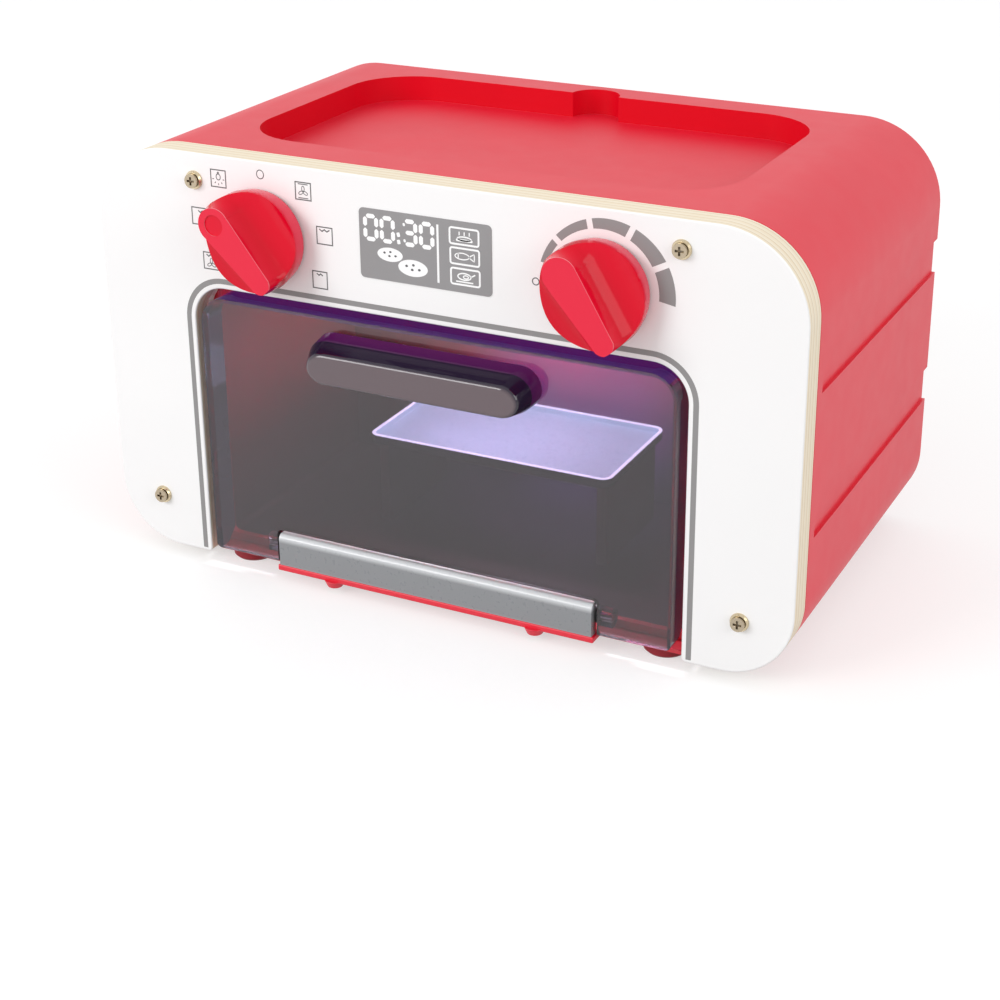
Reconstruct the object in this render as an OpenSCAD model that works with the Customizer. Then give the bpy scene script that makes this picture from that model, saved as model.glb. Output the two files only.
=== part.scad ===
// Toy oven: a moulded case with a wooden front, a tinted drop-down door and two turning knobs.
// X is the width, Y runs from the front to the back, Z is up. The origin is the middle of the
// footprint on the floor. Inside the modules Y is measured from the face of the front panel and
// Z from its lower edge, and in_case() moves each piece into place.

/* [Case] */
// Width of the front panel and the case
panel_w = 330; // [300:1:350]
// Height of the front panel and the case, without the feet
panel_h = 191; // [175:1:208]
// Thickness of the plywood front panel
panel_t = 14; // [12:0.5:16]
// Depth from the face of the panel to the back of the case
case_depth = 185; // [180:1:200]
// Radius of the two upper corners
corner_top_r = 38; // [30:1:44]
// Radius of the two lower corners
corner_low_r = 31; // [26:1:36]
// Wall of the moulded case
wall = 3; // [2.5:0.1:3.4]
// Height of the feet
foot_h = 5; // [4:0.5:7]
// Diameter of a foot
foot_d = 20; // [16:0.5:22]
// Distance of the feet in from the sides of the case
foot_in = 61; // [57:1:67]

/* [Top tray] */
// Width of the rim on each side of the tray-shaped recess in the top
recess_side = 50; // [47:1:57]
// Front to back size of the recess
recess_l = 135; // [125:1:136]
// Depth of the recess
recess_depth = 12; // [10:0.5:14]
// Corner radius of the recess
recess_r = 31; // [24:1:36]
// Distance from the panel face to the front edge of the recess
recess_y = 34; // [33:0.5:36]
// Radius of the finger notch in the back rim
notch_r = 12; // [10:0.5:12]

/* [Side bands] */
// Height of a sunk band on the side
band_h = 16; // [12:0.5:18]
// Depth of a sunk band
band_depth = 1.5; // [0.8:0.1:1.8]
// Distance of the upper band's lower edge below the top of the case
band_high_down = 69.5; // [65:0.5:79]
// Lower edge of the lower band
band_low_z = 58.5; // [50:0.5:64]

/* [Oven opening] */
// Width of the panel on each side of the opening
leg_w = 48; // [45:0.5:49]
// Height of the panel above the opening
over_opening = 60; // [57:0.5:61]
// Corner radius of the opening
opening_r = 16; // [12:0.5:18]
// How far the inside of the oven stands in from each side of the opening
cavity_in = 3; // [1.5:0.1:3.5]
// Inside depth of the oven behind the front wall
cavity_l = 113; // [105:1:118]
// How far the ceiling of the oven lies below the top of the opening
cavity_down = 5; // [4:0.1:6]
// Wall of the oven liner
liner_t = 2.2; // [1.8:0.1:2.4]

/* [Door] */
// Gap between the door and the sides and top of the opening
door_gap = 4.2; // [3.9:0.1:4.6]
// Height of the door's lower edge above the lower edge of the panel
door_low_z = 4.2; // [4:0.1:4.8]
// Thickness of the door plate
door_t = 3; // [2.5:0.1:3.2]
// How far the door stands proud of the panel
door_proud = 1.5; // [1:0.1:2]
// Depth of the door's side and top walls behind the plate
door_wall_l = 10.5; // [8:0.5:11]
// Length of the handle where it leaves the door
handle_w = 108; // [90:1:120]
// Height of the handle where it leaves the door
handle_h = 19; // [16:0.5:22]
// How far the handle stands out of the door
handle_reach = 15.5; // [13:0.5:18]
// Distance of the middle of the handle below the top of the opening
handle_down = 19.5; // [18:0.5:31]

/* [Hinge] */
// Diameter of the hinge rod
rod_d = 4; // [3:0.1:4.5]
// Height of the hinge axis above the lower edge of the panel
axis_z = 11.5; // [11.3:0.1:12.5]
// Distance of the hinge axis behind the face of the panel
axis_y = 4; // [3.8:0.1:4.4]
// Length of the grey hinge bar
bar_w = 155; // [140:1:160]
// Height of the hinge bar
bar_h = 15; // [14:0.1:16.2]
// How far the hinge bar stands proud of the panel
bar_proud = 3.2; // [2.6:0.1:3.4]

/* [Knobs] */
// Diameter of a knob
knob_d = 45; // [40:0.5:47]
// How far a knob stands out of the panel
knob_reach = 22.5; // [20.5:0.5:25]
// Distance of the knobs in from the sides of the panel
knob_in = 86; // [81:0.5:91]
// Distance of the knobs below the top of the panel
knob_down = 33; // [31:0.5:35]
// Width of the grip ridge of a knob at its middle
ridge_w = 12.8; // [10:0.2:14]
// Turn of the left knob's ridge from upright
selector_turn = 43; // [0:1:80]
// Turn of the right knob's ridge from upright
timer_turn = 36; // [0:1:88]
// Diameter of the knob shafts
shaft_d = 6; // [5:0.1:6.5]

/* [Display] */
// Width of the display label
display_w = 61.5; // [50:0.5:70]
// Height of the display label
display_h = 30.3; // [24:0.5:34]
// Distance of the middle of the display label below the top of the panel
display_down = 28.6; // [26:0.2:33]

/* [Fasteners] */
// Diameter of a panel screw's shank
screw_d = 3; // [2.6:0.1:3.4]
// Head diameter of a panel screw
screw_head_d = 6.2; // [5.5:0.1:6.6]
// Length of a panel screw under its head
screw_l = 28; // [24:1:30]
// Outer diameter of the brass cup under a panel screw
cup_d = 8.2; // [7.6:0.1:9]

/* [Batteries] */
// Diameter of a cell
cell_d = 14.2; // [13.5:0.1:14.5]
// Length of a cell with its tip
cell_l = 50.5; // [49.5:0.1:51]
// Number of cells side by side
cells = 3; // [2:1:3]

/* [Hidden] */
$fn = 64;

// Small distances
// Overlap that makes a cut pass through
over = 1;
// Gap between pieces that are only seated
seat_gap = 0.3;
// Gap of a press fit or a thread, on the radius
thread_gap = 0.04;
// Gap of a turning or sliding fit, on the radius
run_gap = 0.06;

// Frame
front_y = knob_reach - (knob_reach + case_depth) / 2;
half_w = panel_w / 2;
opening_w = panel_w - 2 * leg_w;
opening_h = panel_h - over_opening;
knob_x = half_w - knob_in;
knob_z = panel_h - knob_down;
bulkhead_t = 3;
bulkhead_y = panel_t + bulkhead_t;
cover_t = 3;
cover_y = case_depth - cover_t;

// Recess in the top, and the walls under it and round its finger notch
recess_w = panel_w - 2 * recess_side;
recess_wall = 2.5;
notch_wall = 2;

// Fasteners of the wooden panel: places in from its sides and from its upper or lower edge
screw_high_in = 52.5;
screw_high_down = 12;
screw_low_in = 23;
screw_low_z = 24.5;
screw_spots = [for (s = [-1, 1]) each [[s * (half_w - screw_high_in), panel_h - screw_high_down],
    [s * (half_w - screw_low_in), screw_low_z]]];
cup_h = 1.6;
screw_head_h = 2;
cup_seat = 0.6 * cup_h;
cup_gap = 0.1;
cup_edge = 0.5;
boss_r = 4.5;
boss_l = 16;
boss_end = 2;

// Cross recess of the screws, as shares of the head
cross_l = 0.6;
cross_w = 0.16;

// Bottom front of the case: the lip behind the door and the tongue under the hinge bar
lip_t = 1.9;
lip_y = 5;
lip_gap = 2;
tongue_t = 2.8;
tongue_low_z = 0.6;
tongue_top_z = tongue_low_z + tongue_t;
tongue_w = bar_w + 2;
tongue_front = bar_proud + 0.4;
bump_r = 4.9;
bump_low_r = 3.4;
bump_h = 2.6;
bump_x = 50;
bump_y = -0.8;
bar_screw_d = 2.6;
bar_screw_head_d = 5.2;
bar_screw_head_h = 1.6;
bar_screw_l = 9;
head_sink = 0.2;

// Hinge
bar_t = 4.6;
bar_edge_r = 3;
lug_r = 4.3;
lug_w = 7.6;
ear_w = 6;
ear_r = 4.4;
notch_gap = 1.8;
door_notch_w = bar_w + 2 * notch_gap;
ear_x = door_notch_w / 2;
door_notch_top = tongue_top_z + bar_h + notch_gap;
door_notch_r = 3;
rod_l = 2 * (ear_x + ear_w - seat_gap);

// Door
door_hw = opening_w / 2 - door_gap;
door_top = opening_h - door_gap;
door_r = 12;
door_low_r = 2.5;
door_wall_t = 2.2;
door_back = door_t - door_proud;
door_wall_low = 10;
handle_wall = 2.4;
handle_mid_reach = 7.5;
handle_front_w = handle_w - 9;
handle_front_h = 13.6;
handle_mid_w = handle_w - 2;
handle_mid_h = handle_h - 1.6;
handle_z = opening_h - handle_down;
handle_drop = 2.6;
handle_mid_z = handle_z - 0.4 * handle_drop;
handle_hollow = 11;
handle_hollow_drop = 0.8 * handle_drop;
door_join = 0.4;
thin = 0.02;

// Oven inside
cavity_w = opening_w - 2 * cavity_in;
cavity_top = opening_h - cavity_down;
cavity_floor = 5.5;
cavity_y = bulkhead_y;
cavity_back = cavity_y + cavity_l;
cavity_r = 3;
flange_t = 2.2;
flange_side = 8;
flange_top = 6;
liner_screw_l = 5;
liner_screw_d = 2.6;
liner_screw_head_d = 5;
liner_screw_head_h = 1.8;
liner_screw_x = cavity_w / 2 + liner_t + flange_side / 2;
liner_screw_z = [22, cavity_top - 10];
roof_z = cavity_top + liner_t;
post_join = 0.2;
post_floor = 0.4;
tray_w = 122;
tray_l = 66;
tray_h = 4.5;
tray_t = 1.6;
tray_r = 5;
tray_y = 52;
tray_z = 46;
stand_w = 116;
stand_l = 56;
stand_t = 2.6;
stand_y = tray_y + (tray_l - stand_l) / 2;
peg_d = 4;
peg_inset = 8;
leg_t = peg_d + 0.8;
peg_spots = [for (sx = [-1, 1], y = [stand_y + peg_inset, stand_y + stand_l - peg_inset])
    [sx * (stand_w - leg_t) / 2, y]];

// Ceiling lamp
lamp_y = 76;
lamp_w = 60;
lamp_l = 20;
lamp_flange = 3;
lamp_flange_t = 1;
lamp_post_h = 5.4;
lamp_post_x = lamp_w / 2 + lamp_flange + 5;
plug_gap = 0.2;
lamp_board_t = 1.4;
led_d = 5;
led_h = 3.6;
leds = 5;

// Knobs and their switches
knob_lift = 1.2;
knob_face = 9.5;
ridge_taper = 4.9;
dimple_d = 9;
dimple_in = 9;
dimple_deep = 0.8;
shaft_in = 15;
end_gap = 0.4;
shaft_flat = 0.8;
flat_start = knob_lift + 1.2;
shaft_end_y = bulkhead_y + 9;
bushing_d = 9;
bushing_out = 0.6;
switch_w = 24;
switch_t = 11;
nut_d = 13;
nut_t = 2.4;
panel_hole_d = 15;
selector_x = -knob_x;
timer_x = knob_x;

// Control board above the oven
board_w = 84;
board_l = 26;
board_t = 1.6;
board_y = 96;
board_post_h = 5;
board_inset = 4;
post_r = 3;
small_screw_d = 2;
small_hole_d = 2.4;
small_head_d = 3.8;
small_head_h = 1.4;
small_screw_l = 4.5;
board_spots = [for (sx = [-1, 1], y = [board_y + board_inset, board_y + board_l - board_inset])
    [sx * (board_w / 2 - board_inset), y]];
chip = [18, 10, 2];
chip_x = -14;
plug = [8, 12, 6];
plug_x = -30;
can_d = 6;
can_h = 8;
can_x = [14, 24];

// Back of the case
cover_gap = 0.3;
cover_boss_l = 22;
cover_boss_r = 4;
rib_t = 2;
cover_low_in = 15;
cover_low_z = 36;
cover_high_in = 20;
cover_high_down = 35;
cover_spots = [for (s = [-1, 1]) each [[s * (half_w - cover_low_in), cover_low_z],
    [s * (half_w - cover_low_in), panel_h / 2],
    [s * (half_w - cover_high_in), panel_h - cover_high_down]]];
cover_screw_l = 14;
cover_head_y = case_depth - screw_head_h + head_sink;
vent_w = 56;
vent_h = 3;
vent_step = 7;
vent_rows = 5;
vent_z = 20;

// Batteries, from the face of the panel and its lower edge
cell_pitch = cell_d + 1;
box_wall = 2;
spring_h = 3.4;
contact_t = 0.5;
contact_room = spring_h + contact_t + 0.1;
box_in_w = cells * cell_pitch + 2.4;
box_in_h = cell_l + 2 * contact_room;
box_in_d = cell_d + 3.6;
box_low_z = 66;
box_flange = 5;
box_flange_t = 2;
box_tab = 9;
box_boss_r = 3.4;
cell_z = box_low_z + contact_room;
cell_back_gap = 2.2;
cell_y = cover_y - box_flange_t - cell_back_gap - cell_d / 2;
nub_d = 5.2;
nub_h = 1.4;
spring_r = 4;
box_door_w = box_in_w + 6;
box_door_low = box_low_z - box_tab;
box_door_top = box_low_z + box_in_h + 3;
box_screw_z = box_low_z - 5;
box_boss_l = 12;
box_screw_d = 2.4;
box_screw_head_d = 4.6;
box_screw_head_h = 1.2;
box_head_y = case_depth - box_screw_head_h - head_sink;
spring_wall = 0.7;
plate_w = cell_d - 4;
plate_gap = 0.05;

// Speaker and power switch on the back cover, in from its sides and below its top
back_in = 75;
back_down = 79;
speaker_d = 40;
speaker_t = 6;
speaker_x = back_in - half_w;
speaker_z = panel_h - back_down;
magnet_d = 22;
magnet_t = 8;
collar_t = 2;
grille_hole_d = 2.6;
grille_rings = 3;
grille_pitch = 5;
power_x = half_w - back_in;
power_z = panel_h - back_down;
power_travel = 6;
slider_w = 7.6;
slider_h = 4.6;
power_w = 24;
power_h = 11;
power_t = 8;
power_floor = 2;
power_face = 0.6;

// Sunk bands: start behind the panel, and the round upper front corner
band_high_z = panel_h - band_high_down;
band_start = 6;
band_r = band_h - 2;

// Display label
display_z = panel_h - display_down;
label_t = 0.3;
label_r = 2;

// Feet
foot_front = 16.5;
foot_back = 21;
foot_spots = [for (s = [-1, 1], y = [foot_front, case_depth - foot_back])
    [s * (half_w - foot_in), y]];
foot_pin_d = 5;
foot_chamfer = 1.2;

// Moves a piece from the panel's own frame into the frame of the whole part.
module in_case() {
    translate([0, front_y, foot_h]) children();
}

// Pulls a shape drawn in X and Z along Y, from y0 to y1.
module along_y(y0, y1) {
    translate([0, y1, 0]) rotate([90, 0, 0]) linear_extrude(y1 - y0) children();
}

// Pulls a shape drawn in Y and Z along X, from x0 to x1.
module along_x(x0, x1) {
    translate([x0, 0, 0]) rotate([90, 0, 90]) linear_extrude(x1 - x0) children();
}

// A rod along Y, from y0 to y1.
module rod_y(x, z, d, y0, y1) {
    translate([x, y1, z]) rotate([90, 0, 0]) cylinder(d = d, h = y1 - y0);
}

// A rod along X, from x0 to x1.
module rod_x(y, z, d, x0, x1) {
    translate([x0, y, z]) rotate([0, 90, 0]) cylinder(d = d, h = x1 - x0);
}

// A rectangle with round corners, centred.
module round_rect(w, h, r) {
    square([w - 2 * r, h], center = true);
    square([w, h - 2 * r], center = true);
    for (sx = [-1, 1], sy = [-1, 1]) {
        translate([sx * (w / 2 - r), sy * (h / 2 - r)]) circle(r);
    }
}

// A slot with half-round ends, centred.
module slot(w, h) {
    square([w - h, h], center = true);
    for (s = [-1, 1]) {
        translate([s * (w - h) / 2, 0]) circle(d = h);
    }
}

// The outline of the case and the panel, moved in by inset.
module case_outline(inset = 0) {
    hw = half_w - inset;
    top = panel_h - inset;
    rt = corner_top_r - inset;
    rl = corner_low_r - inset;
    polygon([[-hw + rl, inset], [hw - rl, inset], [hw, inset + rl], [hw, top - rt],
        [hw - rt, top], [-hw + rt, top], [-hw, top - rt], [-hw, inset + rl]]);
    for (s = [-1, 1]) {
        translate([s * (hw - rt), top - rt]) circle(rt);
        translate([s * (hw - rl), inset + rl]) circle(rl);
    }
}

// A plate with round upper corners and its own lower corner radius.
module arch(hw, low, top, r, low_r) {
    polygon([[-hw + low_r, low], [hw - low_r, low], [hw, low + low_r], [hw, top - r],
        [hw - r, top], [-hw + r, top], [-hw, top - r], [-hw, low + low_r]]);
    for (s = [-1, 1]) {
        translate([s * (hw - r), top - r]) circle(r);
        translate([s * (hw - low_r), low + low_r]) circle(low_r);
    }
}

// A cross-head screw along Y with its head on the side of -Y; head_y is under the head.
module screw_y(x, z, head_y, d, head_d, head_h, l) {
    difference() {
        union() {
            rod_y(x, z, d, head_y, head_y + l);
            rod_y(x, z, head_d, head_y - head_h, head_y);
        }
        for (turn = [0, 90]) {
            translate([x, head_y - head_h, z]) rotate([0, turn, 0])
                cube([head_d * cross_l, head_h, head_d * cross_w], center = true);
        }
    }
}

// A cross-head screw along Z that points down; head_z is under the head.
module screw_down(x, y, head_z, d, head_d, head_h, l) {
    difference() {
        union() {
            translate([x, y, head_z - l]) cylinder(d = d, h = l);
            translate([x, y, head_z]) cylinder(d = head_d, h = head_h);
        }
        for (turn = [0, 90]) {
            translate([x, y, head_z + head_h]) rotate([0, 0, turn])
                cube([head_d * cross_l, head_d * cross_w, head_h], center = true);
        }
    }
}

// The recess in the top, as a block of the given height whose floor is at z.
module recess_block(z, h, grow) {
    translate([0, recess_y + recess_l / 2, z]) linear_extrude(h)
        round_rect(recess_w + 2 * grow, recess_l + 2 * grow, recess_r + grow);
    translate([0, recess_y + recess_l - over, z]) cylinder(r = notch_r + min(grow, notch_wall), h = h);
}

// The sunk bands on both sides: the upper front corner is round, and they are open at the back.
module band_cuts() {
    front_end = panel_t + band_start;
    band_l = case_depth + over - front_end;
    for (s = [-1, 1], z = [band_low_z, band_high_z]) {
        translate([s * half_w - band_depth, front_end, z]) rotate([90, 0, 90])
            linear_extrude(2 * band_depth) {
                square([band_l, band_h - band_r]);
                translate([band_r, 0]) square([band_l - band_r, band_h]);
                translate([band_r, band_h - band_r]) circle(band_r);
            }
    }
}

module body_shell() {
    recess_floor = panel_h - recess_depth;
    color("crimson") in_case() difference() {
        union() {
            difference() {
                along_y(panel_t, case_depth) case_outline();
                along_y(bulkhead_y, case_depth + over) case_outline(wall);
                along_y(panel_t - over, bulkhead_y + over)
                    translate([0, (cavity_floor + cavity_top) / 2])
                    round_rect(cavity_w, cavity_top - cavity_floor, cavity_r);
            }
            intersection() {
                recess_block(recess_floor - recess_wall, panel_h, recess_wall);
                along_y(panel_t, cover_y - seat_gap) case_outline();
            }
            // Lip behind the door, tongue under the bar and the bumps for its screws
            translate([-opening_w / 2 + lip_gap, lip_y, 0])
                cube([opening_w - 2 * lip_gap, panel_t + over - lip_y, lip_t]);
            translate([-tongue_w / 2, -tongue_front, tongue_low_z])
                cube([tongue_w, tongue_front + lip_y + over, tongue_t]);
            for (s = [-1, 1]) {
                translate([s * bump_x, bump_y, tongue_low_z - bump_h])
                    cylinder(r1 = bump_low_r, r2 = bump_r, h = bump_h + post_join);
            }
            for (p = screw_spots) {
                rod_y(p[0], p[1], 2 * boss_r, panel_t, bulkhead_y + boss_l);
            }
            for (p = cover_spots) {
                rod_y(p[0], p[1], 2 * cover_boss_r, cover_y - cover_boss_l, cover_y);
                translate([p[0] > 0 ? p[0] : -half_w + wall / 2, cover_y - cover_boss_l, p[1] - rib_t / 2])
                    cube([half_w - wall / 2 - abs(p[0]), cover_boss_l, rib_t]);
            }
        }
        recess_block(recess_floor, panel_h, 0);
        band_cuts();
        for (p = screw_spots) {
            rod_y(p[0], p[1], screw_d + 2 * thread_gap, panel_t - over, bulkhead_y + boss_l - boss_end);
        }
        for (p = cover_spots) {
            rod_y(p[0], p[1], screw_d + 2 * thread_gap, cover_y - cover_screw_l, cover_y + over);
        }
        for (x = [selector_x, timer_x]) {
            rod_y(x, knob_z, bushing_d + 2 * thread_gap, panel_t - over, bulkhead_y + over);
        }
        for (s = [-1, 1]) {
            translate([s * bump_x, bump_y, tongue_low_z - bump_h - over]) {
                cylinder(d = bar_screw_d + 2 * thread_gap, h = bump_h + tongue_t + 2 * over);
                cylinder(d = bar_screw_head_d + 2 * seat_gap, h = bar_screw_head_h + over + head_sink);
            }
            for (z = liner_screw_z) {
                rod_y(s * liner_screw_x, z, liner_screw_d + 2 * thread_gap, panel_t - over,
                    bulkhead_y + over);
            }
        }
        for (p = foot_spots) {
            translate([p[0], p[1], -over])
                cylinder(d = foot_pin_d + 2 * thread_gap, h = wall + 2 * over);
        }
    }
}

module front_panel() {
    leg_r = 2;
    color("white") in_case() along_y(0, panel_t) difference() {
        case_outline();
        arch(opening_w / 2, -opening_h, opening_h, opening_r, 1);
        for (s = [-1, 1]) {
            translate([s * knob_x, knob_z]) circle(d = panel_hole_d);
            translate([s * opening_w / 2, 0]) difference() {
                square(2 * leg_r, center = true);
                translate([s * leg_r, leg_r]) circle(leg_r);
            }
        }
        for (p = screw_spots) {
            translate([p[0], p[1]]) circle(d = screw_d + 2 * seat_gap);
        }
    }
}

module panel_screws() {
    color("silver") in_case() for (p = screw_spots) {
        screw_y(p[0], p[1], -cup_seat, screw_d, screw_head_d, screw_head_h, screw_l);
    }
}

module screw_cups() {
    hole_r = screw_d / 2 + cup_gap;
    head_r = screw_head_d / 2 + cup_gap;
    color("goldenrod") in_case() for (p = screw_spots) {
        translate([p[0], 0, p[1]]) rotate([90, 0, 0])
            rotate_extrude() polygon([[hole_r, 0], [cup_d / 2, 0], [cup_d / 2, cup_h - cup_seat],
                [cup_d / 2 - cup_edge, cup_h], [head_r, cup_h], [head_r, cup_seat], [hole_r, cup_seat]]);
    }
}

module display_label() {
    color("gray") in_case() along_y(-label_t, 0) translate([0, display_z])
        round_rect(display_w, display_h, label_r);
}

// One layer of the handle: a slot shape at y, with the given size and height.
module handle_layer(y, w, h, z, t = thin) {
    along_y(y, y + t) translate([0, z]) slot(w, h);
}

module handle_outside() {
    mid_y = -door_proud - handle_mid_reach;
    end_y = -door_proud - handle_reach;
    hull() {
        handle_layer(-door_proud, handle_w, handle_h, handle_z, door_join);
        handle_layer(mid_y, handle_mid_w, handle_mid_h, handle_mid_z);
    }
    hull() {
        handle_layer(mid_y, handle_mid_w, handle_mid_h, handle_mid_z);
        handle_layer(end_y, handle_front_w, handle_front_h, handle_z - handle_drop);
    }
}

module handle_inside() {
    hull() {
        handle_layer(door_back, handle_w - 2 * handle_wall, handle_h - 2 * handle_wall,
            handle_z, over);
        handle_layer(-door_proud - handle_hollow, handle_front_w - 2 * handle_wall,
            handle_front_h - 2 * handle_wall, handle_z - handle_hollow_drop);
    }
}

module door() {
    wall_end = door_back + door_wall_l + over;
    slope_y = axis_y + 2;
    foot_in = ear_x + 2;
    foot_w = door_hw - door_low_r - foot_in;
    color("rebeccapurple") in_case() difference() {
        union() {
            along_y(-door_proud, door_back) difference() {
                arch(door_hw, door_low_z, door_top, door_r, door_low_r);
                arch(door_notch_w / 2, -door_notch_top, door_notch_top, door_notch_r, 1);
            }
            difference() {
                along_y(door_back - door_join, door_back + door_wall_l) difference() {
                    arch(door_hw, door_low_z, door_top, door_r, door_low_r);
                    arch(door_hw - door_wall_t, -over, door_top - door_wall_t,
                        door_r - door_wall_t, 1);
                }
                // The lower back corners stay clear of the floor while the door drops
                along_x(-half_w, half_w) polygon([[slope_y, door_low_z - over], [slope_y, door_low_z],
                    [wall_end, door_wall_low + over], [wall_end, door_low_z - over]]);
            }
            for (s = [-1, 1]) {
                translate([s > 0 ? foot_in : -foot_in - foot_w, door_back - door_join, door_low_z])
                    cube([foot_w, door_wall_t + door_join, door_wall_t]);
                rod_x(axis_y, axis_z, 2 * ear_r, s > 0 ? ear_x : -ear_x - ear_w,
                    s > 0 ? ear_x + ear_w : -ear_x);
            }
            handle_outside();
        }
        rod_x(axis_y, axis_z, rod_d + 2 * run_gap, -half_w, half_w);
        handle_inside();
    }
}

module hinge_bar() {
    bar_top = tongue_top_z + bar_h;
    back_y = bar_t - bar_proud;
    color("silver") in_case() difference() {
        union() {
            along_x(-bar_w / 2, bar_w / 2) {
                polygon([[-bar_proud, tongue_top_z], [back_y, tongue_top_z], [back_y, bar_top],
                    [-bar_proud + bar_edge_r, bar_top], [-bar_proud, bar_top - bar_edge_r]]);
                translate([-bar_proud + bar_edge_r, bar_top - bar_edge_r]) circle(bar_edge_r);
            }
            for (x = [-bar_w / 2, -lug_w / 2, bar_w / 2 - lug_w]) {
                rod_x(axis_y, axis_z, 2 * lug_r, x, x + lug_w);
            }
        }
        rod_x(axis_y, axis_z, rod_d + 2 * thread_gap, -half_w, half_w);
        for (s = [-1, 1]) {
            translate([s * bump_x, bump_y, tongue_top_z - over])
                cylinder(d = bar_screw_d + 2 * thread_gap, h = bar_screw_l);
        }
    }
}

module hinge_rod() {
    color("lightgray") in_case() rod_x(axis_y, axis_z, rod_d, -rod_l / 2, rod_l / 2);
}

module hinge_washers() {
    gap = 0.1;
    washer_d = 2 * ear_r - 1;
    color("dimgray") in_case() for (s = [-1, 1]) {
        x0 = s > 0 ? bar_w / 2 + gap : -ear_x + gap;
        difference() {
            rod_x(axis_y, axis_z, washer_d, x0, x0 + notch_gap - 2 * gap);
            rod_x(axis_y, axis_z, rod_d + 2 * thread_gap, x0 - over, x0 + notch_gap + over);
        }
    }
}

module bar_screws() {
    head_z = tongue_low_z - bump_h + bar_screw_head_h + head_sink;
    color("silver") in_case() for (s = [-1, 1]) {
        translate([s * bump_x, bump_y, head_z]) difference() {
            union() {
                cylinder(d = bar_screw_d, h = bar_screw_l);
                translate([0, 0, -bar_screw_head_h])
                    cylinder(d = bar_screw_head_d, h = bar_screw_head_h);
            }
            for (turn = [0, 90]) {
                translate([0, 0, -bar_screw_head_h]) rotate([0, 0, turn])
                    cube([bar_screw_head_d * cross_l, bar_screw_head_d * cross_w, bar_screw_head_h],
                        center = true);
            }
        }
    }
}

module oven_liner() {
    low = cavity_floor - liner_t;
    in_h = cavity_top - cavity_floor;
    out_w = cavity_w + 2 * liner_t;
    color("firebrick") in_case() difference() {
        union() {
            translate([-out_w / 2, cavity_y, low])
                cube([out_w, cavity_l + liner_t, in_h + 2 * liner_t]);
            translate([-out_w / 2 - flange_side, cavity_y, low])
                cube([out_w + 2 * flange_side, flange_t, in_h + 2 * liner_t + flange_top]);
            for (s = [-1, 1]) {
                translate([s * lamp_post_x, lamp_y, roof_z - post_join])
                    cylinder(r = post_r, h = lamp_post_h + post_join);
            }
            for (p = board_spots) {
                translate([p[0], p[1], roof_z - post_join])
                    cylinder(r = post_r, h = board_post_h + post_join);
            }
        }
        along_y(cavity_y - over, cavity_back) translate([0, (cavity_floor + cavity_top) / 2])
            round_rect(cavity_w, in_h, cavity_r);
        translate([-lamp_w / 2, lamp_y - lamp_l / 2, cavity_top - over])
            cube([lamp_w, lamp_l, liner_t + 2 * over]);
        for (s = [-1, 1]) {
            for (z = liner_screw_z) {
                rod_y(s * liner_screw_x, z, liner_screw_d + 2 * seat_gap, cavity_y - over,
                    cavity_y + flange_t + over);
            }
            translate([s * lamp_post_x, lamp_y, roof_z + post_floor])
                cylinder(d = small_screw_d + 2 * thread_gap, h = lamp_post_h);
        }
        for (p = board_spots) {
            translate([p[0], p[1], roof_z + post_floor])
                cylinder(d = small_screw_d + 2 * thread_gap, h = board_post_h);
        }
        for (p = peg_spots) {
            translate([p[0], p[1], low - over])
                cylinder(d = peg_d + 2 * thread_gap, h = liner_t + 2 * over);
        }
    }
}

module liner_screws() {
    color("silver") in_case() for (s = [-1, 1], z = liner_screw_z) {
        translate([0, 2 * (cavity_y + flange_t), 0]) mirror([0, 1, 0])
            screw_y(s * liner_screw_x, z, cavity_y + flange_t, liner_screw_d, liner_screw_head_d,
                liner_screw_head_h, liner_screw_l);
    }
}

module tray_stand() {
    color("dimgray") in_case() {
        translate([-stand_w / 2, stand_y, tray_z - stand_t]) cube([stand_w, stand_l, stand_t]);
        for (s = [-1, 1]) {
            translate([s > 0 ? stand_w / 2 - leg_t : -stand_w / 2, stand_y, cavity_floor])
                cube([leg_t, stand_l, tray_z - stand_t - cavity_floor + post_join]);
        }
        for (p = peg_spots) {
            translate([p[0], p[1], cavity_floor - liner_t + post_join])
                cylinder(d = peg_d, h = liner_t);
        }
    }
}

module glow_tray() {
    color("lavender") in_case() translate([0, tray_y + tray_l / 2, tray_z]) difference() {
        linear_extrude(tray_h) round_rect(tray_w, tray_l, tray_r);
        translate([0, 0, tray_t]) linear_extrude(tray_h)
            round_rect(tray_w - 2 * tray_t, tray_l - 2 * tray_t, tray_r - tray_t);
    }
}

module lamp_window() {
    color("white") in_case() translate([0, lamp_y, 0]) {
        translate([-lamp_w / 2 + plug_gap, -lamp_l / 2 + plug_gap, cavity_top])
            cube([lamp_w - 2 * plug_gap, lamp_l - 2 * plug_gap, liner_t + post_join]);
        translate([0, 0, roof_z + lamp_flange_t / 2])
            cube([lamp_w + 2 * lamp_flange, lamp_l + 2 * lamp_flange, lamp_flange_t],
                center = true);
    }
}

module lamp_board() {
    color("darkgreen") in_case() difference() {
        translate([-lamp_post_x - post_r, lamp_y - lamp_l / 2, roof_z + lamp_post_h])
            cube([2 * (lamp_post_x + post_r), lamp_l, lamp_board_t]);
        for (s = [-1, 1]) {
            translate([s * lamp_post_x, lamp_y, roof_z])
                cylinder(d = small_hole_d, h = 2 * lamp_post_h);
        }
    }
}

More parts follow.
